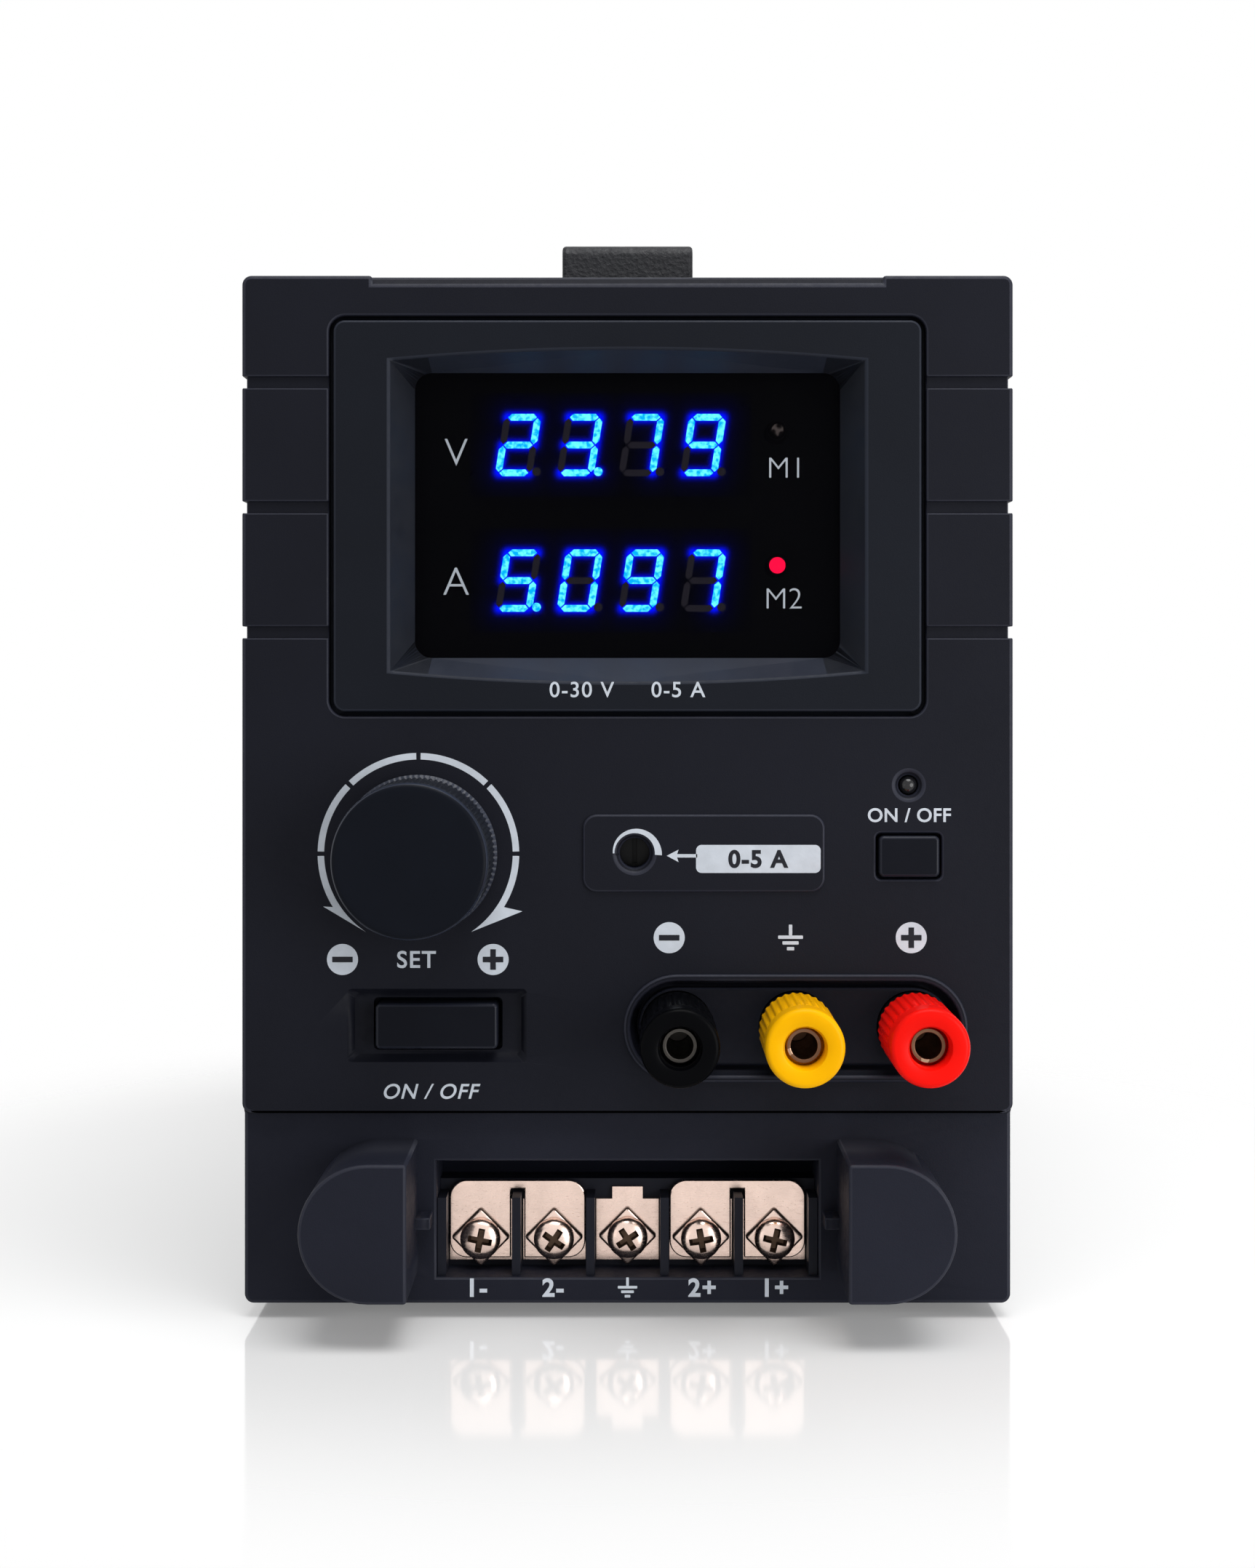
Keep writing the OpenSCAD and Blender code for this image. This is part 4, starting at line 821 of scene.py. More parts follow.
class SUPPLY_OT_display(bpy.types.Operator):
    """Lights the two readings and the mode lamps behind the smoked window"""

    bl_idname = "supply.display"
    bl_label = "Display"

    READINGS = (("2379", 1), ("5097", 0))
    ROWS = (139.4 * MM, 117.2 * MM)
    MIDDLE_X = -2.75 * MM
    FACE_OUT = -7.4 * MM
    STROKES = {
        "a": (0, 2, True),
        "b": (1, 1, False),
        "c": (1, -1, False),
        "d": (0, -2, True),
        "e": (-1, -1, False),
        "f": (-1, 1, False),
        "g": (0, 0, True),
    }
    LIT = {"0": "abcdef", "2": "abged", "3": "abgcd", "5": "afgcd", "7": "abc", "9": "abcdfg"}

    def execute(self, context):
        colours, sizes, words, _ = settings(context)
        hidden = 0.62
        paint(smoked_acrylic("Smoked acrylic", colours.smoke, hidden), "display_window")
        paint(satin_plastic("Module plastic", colours.black), "led_displays")
        paint(circuit_board("Display board", colours.black), "display_board")
        glow = self.add_segments(colours, sizes)
        self.add_halo(colours, glow)
        self.add_lamps(colours)
        self.add_print(colours, sizes, words)
        return {"FINISHED"}

    def add_print(self, colours, sizes, words):
        """The signs on the window, in dimmed ink."""
        ink = printed_ink("Window print", tone(colours.ink, 0.7))
        marks = bmesh.new()
        for sign, x, height, cap_h in (
            (words.volts, -27.9, 138.0, 4.6),
            (words.amps, -27.9, 117.0, 4.6),
            (words.mode_one, 25.5, 135.5, 3.4),
            (words.mode_two, 25.5, 114.2, 3.4),
        ):
            letters(marks, sign, (x * MM, height * MM), cap_h * MM, thin=0.016)
        thicken(marks, sizes.print_t, front_box("display_window")[1].z)
        make_piece("window_print", marks, [ink], "case")

    def column_x(self, sizes, column):
        """The middle of a digit's column."""
        return self.MIDDLE_X + (column - 1.5) * sizes.digit_pitch

    def strokes(self, sizes, column, row):
        """The letter and the slanted outline of each stroke of a digit, its ends first and fourth."""
        rise = (sizes.digit_h - sizes.segment_w) / 2
        gap = 0.3 * MM
        tip = sizes.segment_w / 2
        lean = math.tan(sizes.digit_slant)
        for letter, (side, level, flat) in self.STROKES.items():
            middle_x = self.column_x(sizes, column) + side * sizes.digit_w / 2
            middle_y = level * rise / 2
            half = ((sizes.digit_w if flat else rise) - gap) / 2
            along = [(-half, 0), (tip - half, tip), (half - tip, tip)]
            along += [(half, 0), (half - tip, -tip), (tip - half, -tip)]
            points = []
            for a, b in along:
                x, y = (a, b) if flat else (b, a)
                level_y = middle_y + y
                points.append((middle_x + x + lean * level_y, self.ROWS[row] + level_y))
            yield letter, points

    def add_segments(self, colours, sizes):
        """Lit and unlit strokes and points on the faces of the modules, the unlit ones with a faint painted
        glow; gives the lit lines for the halo.
        """
        rim = lit(satin_plastic("Segment rim", colours.black), colours.halo, 12.0)
        core = lit(satin_plastic("Segment core", colours.black), colours.digit, 9.0)
        red, green, blue = colours.digit
        shimmer(core, (red, 0.9 * green, blue), (red + 0.14, 2.4 * green, blue), noise(core, 1300, 2.0))
        # Unlit segments glow faintly though nothing lights them: a painted glow that makes them show.
        dark = lit(satin_plastic("Dark segment", (0.055, 0.055, 0.068)), (0.22, 0.2, 0.28), 0.35)
        shining = bmesh.new()
        dull = bmesh.new()
        glow = []
        point_r = 0.72 * MM
        point_right = sizes.digit_w / 2 + 0.5 * MM
        point_up = 0.75 * MM - sizes.digit_h / 2
        rim_w = 0.16 * MM
        lit_t, lit_out = 0.1 * MM, 0.12 * MM
        dull_t, dull_out = 0.05 * MM, 0.05 * MM
        for row, (digits, point_after) in enumerate(self.READINGS):
            for column, digit in enumerate(digits):
                for letter, points in self.strokes(sizes, column, row):
                    on = letter in self.LIT[digit]
                    flat_outline(shining if on else dull, points)
                    if on:
                        glow.append((Vector(points[0]), Vector(points[3])))
                spot = (self.column_x(sizes, column) + point_right, self.ROWS[row] + point_up)
                on = column == point_after
                flat_outline(shining if on else dull, arc_points(spot, point_r, 0, 345, 23))
                if on:
                    glow.append((Vector(spot), Vector(spot)))
        whole = shining.faces[:]
        bmesh.ops.inset_individual(shining, faces=whole, thickness=rim_w)
        for face in shining.faces:
            face.material_index = 0
        for face in whole:
            face.material_index = 1
        thicken(shining, lit_t, self.FACE_OUT + lit_out)
        make_piece("lit_segments", shining, [rim, core], "case")
        thicken(dull, dull_t, self.FACE_OUT + dull_out)
        make_piece("unlit_segments", dull, [dark], "case")
        return glow

    def add_halo(self, colours, glow):
        """A thin sheet on each module that glows round the lit strokes: strongly near, faintly far."""
        material = lit(satin_plastic("Glowing resin", colours.black), colours.halo, 1.0)
        share = add_node(material, "Attribute", attribute_name="glow")
        connect(material, share.outputs["Fac"], "Emission Strength")
        bm = bmesh.new()
        half = Matrix.Diagonal((23.0 * MM, 8.5 * MM, 1, 1))
        for row in self.ROWS:
            place = Matrix.Translation((self.MIDDLE_X, row, 0)) @ half
            bmesh.ops.create_grid(bm, x_segments=115, y_segments=42, size=1, matrix=place)
        halo_out = 0.02 * MM
        strong, strong_reach, fall = 10, 0.74 * MM, 2.2
        faint, faint_reach = 0.4, 1.2 * MM
        shares = []
        for vert in bm.verts:
            near = min(self.apart(vert.co.xy, *line) for line in glow)
            close = strong * math.exp(-((near / strong_reach) ** fall))
            shares.append(close + faint * math.exp(-near / faint_reach))
        bm.verts.index_update()
        bm.transform(FRONT @ Matrix.Translation((0, 0, self.FACE_OUT + halo_out)))
        halo = make_piece("segment_halo", bm, [material], "case")
        layer = halo.data.attributes.new("glow", "FLOAT", "POINT")
        layer.data.foreach_set("value", shares)

    def apart(self, here, start, end):
        """The distance from a point to a stroke's middle line."""
        line = end - start
        size = line.length_squared
        along = max(0.0, min(1.0, (here - start).dot(line) / size)) if size else 0.0
        return (here - start - along * line).length

    def add_lamps(self, colours):
        """The mode lamps: the tip of the lower one is lit, and the tip of the upper one glints."""
        clear = satin_plastic("Clear lamp", (0.030, 0.028, 0.027))
        glowing = lit(satin_plastic("Lit lamp", colours.cap_red), colours.lamp, 9.0)
        glint = lit(satin_plastic("Lamp glint", colours.black), colours.ink, 1.0)
        shimmer(glint, (0.02, 0.016, 0.016), (0.34, 0.28, 0.27), cells(glint, 900))
        bm = bmesh.new()
        bm.from_mesh(frame["nodes"]["mode_lamps"].data)
        bmesh.ops.remove_doubles(bm, verts=bm.verts, dist=WELD)
        low, high = front_box("mode_lamps")
        middle = (low + high) / 2
        wide = (high.x - low.x) / 2
        tips = ((low.y + wide, 1.3 * MM), (high.y - wide, 0.95 * MM))
        for face in bm.faces:
            here = to_front(face.calc_center_median())
            for index, (height, reach) in enumerate(tips, 1):
                near = math.hypot(here.x - middle.x, here.y - height) < reach
                if near and here.z > middle.z:
                    face.material_index = index
        make_piece("mode_lamp_pair", bm, [clear, glowing, glint], "case", stands_for=["mode_lamps"])


class SUPPLY_OT_controls(bpy.types.Operator):
    """Turns the knob and finishes the keys, the trimmer and their switches"""

    bl_idname = "supply.controls"
    bl_label = "Knob and keys"

    def execute(self, context):
        colours, sizes, _, _ = settings(context)
        self.add_knob(colours.knob, sizes)
        key = satin_plastic("Key plastic", colours.key, specular=0.06, gloss=(0.36, 0.46))
        # Paler key edges: a painted highlight on the rounded edges.
        key_edge_highlight = satin_plastic("Key edges", tone(colours.key, 2.2), specular=0.14)
        for name in ("power", "output"):
            rounded_copy(name + "_key", name + "_button", key, 0.45 * MM, edge_highlight_finish=key_edge_highlight)
        resin = satin_plastic("Clear resin", (0.010, 0.010, 0.012), specular=0.4, gloss=(0.08, 0.14))
        paint(resin, "output_lamp")
        switch = satin_plastic("Switch plastic", colours.black)
        paint(switch, "output_switch", "power_switch", "encoder_rotor")
        paint(satin_plastic("Trimmer plastic", (0.010, 0.022, 0.10)), "trimmer_body")
        paint(satin_plastic("Trimmer rotor", (0.007, 0.007, 0.008)), "trimmer_rotor")
        paint(plated_metal("Switch metal", colours.zinc), "encoder_body", "encoder_shaft")
        return {"FINISHED"}

    def add_knob(self, colour, sizes):
        """The knob: hollow skirt, fine ribs painted lighter as painted light, rounded front edge with a
        painted highlight, and a shallow dish.
        """
        low, high = front_box("adjust_knob")
        axis = front_middle("adjust_knob")
        foot, front = low.z, high.z
        wide = (high.x - low.x) / 2
        slim = wide - 0.6 * MM
        bore, bore_end = 3.02 * MM, front - 3.0 * MM
        hollow, roof = 9.0 * MM, foot + 5.2 * MM
        lip, edge = 0.3 * MM, 0.9 * MM
        profile = [(0, bore_end), (bore, bore_end), (bore, roof), (hollow, roof), (hollow, foot)]
        profile += [(wide - lip, foot), (wide, foot + lip), (wide, foot + 0.75 * MM)]
        profile += [(wide - 0.35 * MM, foot + 1.1 * MM), (slim + 0.08 * MM, front - 1.75 * MM)]
        profile += [(slim + 0.06 * MM, front - 1.55 * MM)]
        profile += arc_points((slim - edge, front - edge), edge, 0, 90, 6)
        profile += [(slim - 1.6 * MM, front - 0.02 * MM), (slim * 0.5, front - 0.12 * MM)]
        profile += [(0, front - 0.16 * MM)]
        bm = turned(
            profile,
            sizes.knob_ribs * 6,
            on_front(axis),
            ribs=sizes.knob_ribs,
            ribbed=(foot + 1.05 * MM, front - 1.7 * MM, slim - 0.1 * MM),
            deep=0.28 * MM,
        )
        # The ribbed skirt is painted lighter as if lit from above, and the front edge and the rim of the foot
        # carry a painted highlight.
        plain = satin_plastic("Knob plastic", tone(colour, 1.2), specular=0.05, gloss=(0.3, 0.4))
        ribs = satin_plastic("Knob ribs", tone(colour, 1.5), specular=0.05)
        bright = satin_plastic("Knob edges", tone(colour, 5), specular=0.25)
        for face in bm.faces:
            here = to_front(face.calc_center_median())
            reach = (here.xy - axis.xy).length
            at_edge = reach > slim - 0.28 * MM and here.z > front - 0.8 * MM
            at_foot = foot + 0.7 * MM < here.z < foot + 1.12 * MM and reach > wide - 0.4 * MM
            if at_edge or at_foot:
                face.material_index = 2
            elif reach > slim - 0.5 * MM:
                face.material_index = 1
        make_piece("turning_knob", bm, [plain, ribs, bright], "knob", ["adjust_knob"])


class SUPPLY_OT_posts(bpy.types.Operator):
    """Turns the caps of the binding posts and finishes their metal"""

    bl_idname = "supply.posts"
    bl_label = "Binding posts"

    CAP_SHINE = {"black": 0.03, "yellow": 0.07, "red": 0.07}

    def execute(self, context):
        colours, sizes, _, _ = settings(context)
        for name, shine in self.CAP_SHINE.items():
            finish = satin_plastic("Cap " + name, getattr(colours, "cap_" + name), specular=shine)
            self.add_cap(sizes, name, finish)
            paint(plated_metal("Post nickel " + name, colours.nickel), "post_washer_" + name)
        posts = [front_middle("post_cap_" + name) for name in self.CAP_SHINE]
        self.add_studs(colours, posts)
        paint(satin_plastic("Insulator", colours.black), "post_insulators")
        self.add_plate(colours.panel, posts)
        return {"FINISHED"}

    def add_plate(self, colour, posts):
        """A plate with round ends on the floor of the sunk field, round the three collars, with a painted
        highlight on its faces that turn up.
        """
        tall, floor, front = 12.5 * MM, -4.0 * MM, -1.2 * MM
        hole = 5.85 * MM
        long = posts[2].x - posts[0].x + tall
        face = moulded_plastic("Post plate", tone(colour, 1.2))
        bright = moulded_plastic("Post plate edges", tone(colour, 3.0), specular=0.2)
        bm = bmesh.new()
        flat_outline(bm, rounded_outline((posts[1].x, posts[1].y), long, tall, tall / 2 - WELD, 20))
        thicken(bm, front - floor, floor)
        soften_front(bm, front, 0.45 * MM)
        tool = bmesh.new()
        for post in posts:
            bmesh.ops.create_cone(
                tool,
                cap_ends=True,
                segments=64,
                radius1=hole,
                radius2=hole,
                depth=30 * MM,
                matrix=on_front(post),
            )
        bm = cut(bm, tool, [face, face])
        bm.normal_update()
        # Faces turned up and forward take the paler finish: a painted highlight.
        for item in bm.faces:
            faces_up = item.normal.z > 0.3 and item.normal.y < -0.2
            item.material_index = int(faces_up)
        make_piece("post_plate", bm, [face, bright], "case")

    def add_studs(self, colours, posts):
        """The studs, with painted shade inside their sockets."""
        wall = 2.1 * MM
        brass = plated_metal("Post brass", colours.brass)
        # Inside the sockets a dark brown paints the shade; the first post's stud is simply darker all over.
        depth = plated_metal("Socket depth", (0.16, 0.085, 0.05), gloss=(0.3, 0.45))
        darker_brass = plated_metal("Tarnished brass", (0.06, 0.055, 0.05), gloss=(0.3, 0.45))

        def stud_finish(middle):
            """Painted shade inside a socket, and darker all over at the first post."""
            if abs(middle.x - posts[0].x) < abs(middle.x - posts[1].x):
                return 2
            return any(math.hypot(middle.x - post.x, middle.y - post.y) < wall for post in posts)

        rounded_copy(
            "socket_studs",
            "post_studs",
            brass,
            0.12 * MM,
            others=(depth, darker_brass),
            where=stud_finish,
        )

    def add_cap(self, sizes, name, finish):
        """A cap: plain ring with a rounded edge and a flared mouth, ribs behind."""
        node = "post_cap_" + name
        low, high = front_box(node)
        foot, front = low.z, high.z
        wide = (high.x - low.x) / 2
        ring = front - 4.5 * MM
        ribbed = wide - 0.02 * MM
        neck = ribbed - 0.3 * MM
        bore, mouth, step = 2.75 * MM, 3.1 * MM, front - 5.0 * MM
        foot_edge, ring_edge, edge = 0.35 * MM, 0.1 * MM, 0.8 * MM
        profile = [(bore, foot), (ribbed - foot_edge, foot), (ribbed, foot + foot_edge)]
        profile += [(ribbed, ring - 0.55 * MM), (neck, ring - 0.35 * MM), (neck, ring)]
        profile += [(wide - ring_edge, ring), (wide, ring + ring_edge)]
        profile += arc_points((wide - edge, front - edge), edge, 0, 90, 6)
        profile += [(mouth + 0.55 * MM, front), (mouth + 0.3 * MM, front - 0.12 * MM)]
        profile += [(mouth, front - 0.9 * MM), (mouth, step), (bore, step)]
        bm = turned(
            profile,
            sizes.cap_ribs * 8,
            on_front(front_middle(node)),
            ribs=sizes.cap_ribs,
            ribbed=(foot + 0.2 * MM, ring - 0.5 * MM, ribbed - 0.1 * MM),
            deep=0.2 * MM,
        )
        make_piece("screw_cap_" + name, bm, [finish], body_of(node), [node])


class SUPPLY_OT_terminals(bpy.types.Operator):
    """Finishes the terminal strip: block, links, washers and screws"""

    bl_idname = "supply.terminals"
    bl_label = "Terminal strip"

    def execute(self, context):
        colours, _, _, _ = settings(context)
        plate = plated_metal("Bright plate", colours.nickel)
        # The block is painted paler than the panel: painted light that lifts the shade in its deep field.
        block = satin_plastic("Block plastic", tone(colours.panel, 1.3), gloss=(0.4, 0.5))
        paint(block, "sense_block")
        paint(plate, "sense_contacts")
        rounded_copy("link_plates", "sense_links", plate, 0.2 * MM)
        # Darker nickel on the washers' upturned faces: painted shade.
        dull = plated_metal("Washer edges", tone(colours.nickel, 0.16), gloss=(0.3, 0.45))
        # Dark brown in the cross recesses: painted shade.
        screw_recess_shade = plated_metal("Screw recess", (0.085, 0.055, 0.038), gloss=(0.4, 0.6))
        for i in range(1, 6):
            self.add_washer(f"clamp_washer_{i}", plate, dull)
            self.add_screw(f"clamp_screw_{i}", [plate, screw_recess_shade], math.radians(12 + 67 * i))
        return {"FINISHED"}

    def add_washer(self, node, plate, edge):
        """A square washer on its corner: a round hole, soft front edges, and painted shade where it faces up.
        """
        low, high = front_box(node)
        axis = front_middle(node)
        corner, hole, soft = 0.5 * MM, 1.85 * MM, 0.42 * MM
        side = (high.x - low.x + 2 * corner * (math.sqrt(2) - 1)) / math.sqrt(2)
        thick = high.z - low.z
        bm = bmesh.new()
        outline = rounded_outline((0, 0), side, side, corner, 6)
        outer = [bm.verts.new((x, y, 0)) for x, y in outline]
        round_hole = bmesh.ops.create_circle(bm, segments=len(outer), radius=hole)
        first = math.atan2(outline[0][1], outline[0][0])
        bmesh.ops.rotate(bm, verts=round_hole["verts"], cent=(0, 0, 0), matrix=Matrix.Rotation(first, 3, "Z"))
        edges = [bm.edges.new((outer[i], outer[i - 1])) for i in range(len(outer))]
        inner = [line for line in bm.edges if line not in edges]
        bmesh.ops.bridge_loops(bm, edges=edges + inner)
        bm.transform(Matrix.Rotation(math.pi / 4, 4, "Z"))
        thicken(bm, thick, low.z)
        bm.transform(Matrix.Translation(FRONT.to_3x3() @ Vector((axis.x, axis.y, 0))))
        soften_front(bm, high.z, soft)
        bm.normal_update()
        # Faces turned up take the darker finish: painted shade.
        for face in bm.faces:
            face.material_index = int(face.normal.z > 0.25)
        name = node.replace("clamp", "square")
        make_piece(name, bm, [plate, edge], body_of(node), [node])

    def add_screw(self, node, finishes, turn):
        """A pan-head screw with a cross recess, turned to an angle."""
        low, high = front_box(node)
        head, shank = 2.4 * MM, 1.45 * MM
        seat = high.z - head
        place = on_front(front_middle(node)) @ Matrix.Translation((0, 0, seat))
        bm = cross_screw(place, ((high.x - low.x) / 2, head), (shank, seat - low.z), turn, finishes)
        name = node.replace("clamp", "cross")
        make_piece(name, bm, finishes, body_of(node), [node])


class SUPPLY_OT_case(bpy.types.Operator):
    """Finishes the steel case, the strap handle, the rear and the inside"""

    bl_idname = "supply.case"
    bl_label = "Case, handle and inside"

    def execute(self, context):
        colours, _, _, _ = settings(context)
        coat = powder_coat("Powder coat", colours.steel)
        paint(coat, "rear_panel")
        self.add_cover(coat)
        sheet = zinc_sheet("Zinc sheet", colours.zinc)
        paint(sheet, "bottom_chassis")
        self.add_screws()
        paint(soft_rubber("Foot rubber", colours.rubber), "rubber_feet")
        self.add_handle(colours)
        self.finish_rear(colours)
        self.finish_inside(colours)
        return {"FINISHED"}

    def add_cover(self, coat):
        """The steel cover with its two bends rounded."""
        _, high = front_box("top_cover")
        near = 0.1 * MM
        bend_r = 1.2 * MM
        vent_height = 150.0 * MM

        def bend(middle, _):
            """Rounds the two long top edges alone."""
            at_bend = abs(middle.x) > high.x - near and middle.y > high.y - near
            return bend_r if at_bend else 0.0

        rounded_copy("steel_cover", "top_cover", coat, bend, 4, cuts=[vent_height])

    def add_screws(self):
        """Six black screws through the sides of the cover."""
        low, high = front_box("case_screws")
        black = plated_metal("Black screws", (0.03, 0.03, 0.032), gloss=(0.3, 0.42))
        # A darker recess: painted shade.
        recess = plated_metal("Black recess", (0.006, 0.006, 0.007), gloss=(0.4, 0.5))
        wide = (high.y - low.y) / 2
        seat = front_box("top_cover")[1].x
        head = (wide, high.x - seat)
        shank = (1.5 * MM, 2.2 * MM)
        middle = front_middle("handle_caps").z
        parts = []
        for side in (-1, 1):
            facing = Matrix(((0, 0, side, 0), (side, 0, 0, 0), (0, 1, 0, 0), (0, 0, 0, 1)))
            for i, out in enumerate((high.z - wide, middle, low.z + wide)):
                at = FRONT @ Vector((side * seat, low.y + wide, out))
                turn = math.radians(25 + 50 * i + 20 * side)
                place = Matrix.Translation(at) @ facing
                parts.append(cross_screw(place, head, shank, turn, [black, recess]))
        make_piece("cover_screws", gather(parts), [black, recess], "case", ["case_screws"])

    def add_handle(self, colours):
        """Grained caps and grip, and two stretches of strap between them."""
        grain = leather_grain("Handle grain", colours.handle)
        rounded_copy("strap_caps", "handle_caps", grain, 0.6 * MM)
        rounded_copy("strap_grip", "handle_grip", grain, 0.9 * MM)
        for node in ("strap_front", "strap_rear"):
            self.add_strap(node, grain)

    def add_strap(self, node, grain):
        """A stretch of strap with soft edges between its cap and the grip, finely cut along its length."""
        low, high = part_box(node)
        size = high - low
        middle = (low + high) / 2
        bm = bmesh.new()
        bmesh.ops.create_cube(bm, size=1, matrix=Matrix.Translation(middle) @ Matrix.Diagonal((*size, 1)))

        def lengthwise():
            """The edges that run along the strap."""
            return [e for e in bm.edges if abs(e.verts[0].co.y - e.verts[1].co.y) > size.y / 2]

        bmesh.ops.bevel(
            bm,
            geom=lengthwise(),
            offset=0.8 * MM,
            affect="EDGES",
            segments=3,
            profile=0.5,
            clamp_overlap=True,
            material=-1,
        )
        bmesh.ops.subdivide_edges(bm, edges=lengthwise(), cuts=28, use_grid_fill=True)
        piece = make_piece("bending_" + node, bm, [grain], None, [node])
        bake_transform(piece)

    def finish_rear(self, colours):
        """The fan, its guard and the mains inlet."""
        plastic = satin_plastic("Fan plastic", colours.black, gloss=(0.38, 0.48))
        paint(plastic, "fan_frame", "fan_rotor", "mains_inlet")
        wire = plated_metal("Guard wire", colours.zinc)
        paint(wire, "inlet_pins")
        self.add_guard(wire)

    def add_guard(self, wire):
        """The wire guard: rings on two spokes with an eye at each end, and the screws through the eyes."""
        low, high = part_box("fan_frame")
        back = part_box("rear_panel")[1].y
        centre = Vector(((low.x + high.x) / 2, back, (low.z + high.z) / 2))
        place = Matrix.Translation(centre) @ Matrix(((-1, 0, 0, 0), (0, 0, 1, 0), (0, 1, 0, 0), (0, 0, 0, 1)))
        thick, pitch, eye = 1.6 * MM, 6.6 * MM, 3.2 * MM
        spread = 25.0 * MM * math.sqrt(2)
        reach = spread - eye
        head = (3.25 * MM, thick)
        shank = (2.0 * MM, 10.8 * MM)
        # A darker recess: painted shade.
        recess = plated_metal("Guard screw recess", (0.08, 0.08, 0.085), gloss=(0.4, 0.5))
        parts = []
        screws = []

        def add_ring(radius, height, steps, at):
            """A ring of wire."""
            parts.append(turned(arc_points((radius, height), thick / 2, 0, 330, 11), steps, at))

        for k in range(1, 5):
            add_ring(k * pitch, 1.3 * thick, 72, place)
        for quarter in range(4):
            angle = math.pi / 4 + quarter * math.pi / 2
            spot = place @ Matrix.Translation((spread * math.cos(angle), spread * math.sin(angle), 0))
            add_ring(eye, thick / 2, 32, spot)
            seat = spot @ Matrix.Translation((0, 0, thick))
            screws.append(cross_screw(seat, head, shank, 0.4 + quarter, [wire, recess]))
        for angle in (math.pi / 4, 3 * math.pi / 4):
            spoke = bmesh.new()
            lie = Matrix.Translation((0, 0, thick / 2)) @ Matrix.Rotation(angle, 4, "Z")
            bmesh.ops.create_cone(
                spoke,
                cap_ends=True,
                segments=14,
                radius1=0.45 * thick,
                radius2=0.45 * thick,
                depth=2 * reach,
                matrix=place @ lie @ Matrix.Rotation(math.pi / 2, 4, "Y"),
            )
            parts.append(spoke)
        make_piece("wire_guard", gather(parts), [wire], "case", ["fan_guard"])
        make_piece("guard_screws", gather(screws), [wire, recess], "case")

    def finish_inside(self, colours):
        """Boards, transformer, heat sinks, capacitors and wiring."""
        paint(circuit_board("Control board", colours.board), "control_board", "main_board")
        paint(satin_plastic("Transformer", (0.05, 0.045, 0.04)), "transformer")
        paint(plated_metal("Heat sinks", (0.70, 0.71, 0.73)), "heat_sinks")
        paint(satin_plastic("Capacitor sleeve", (0.012, 0.016, 0.05)), "capacitors")
        paint(satin_plastic("Wire", (0.30, 0.02, 0.02)), "wiring")


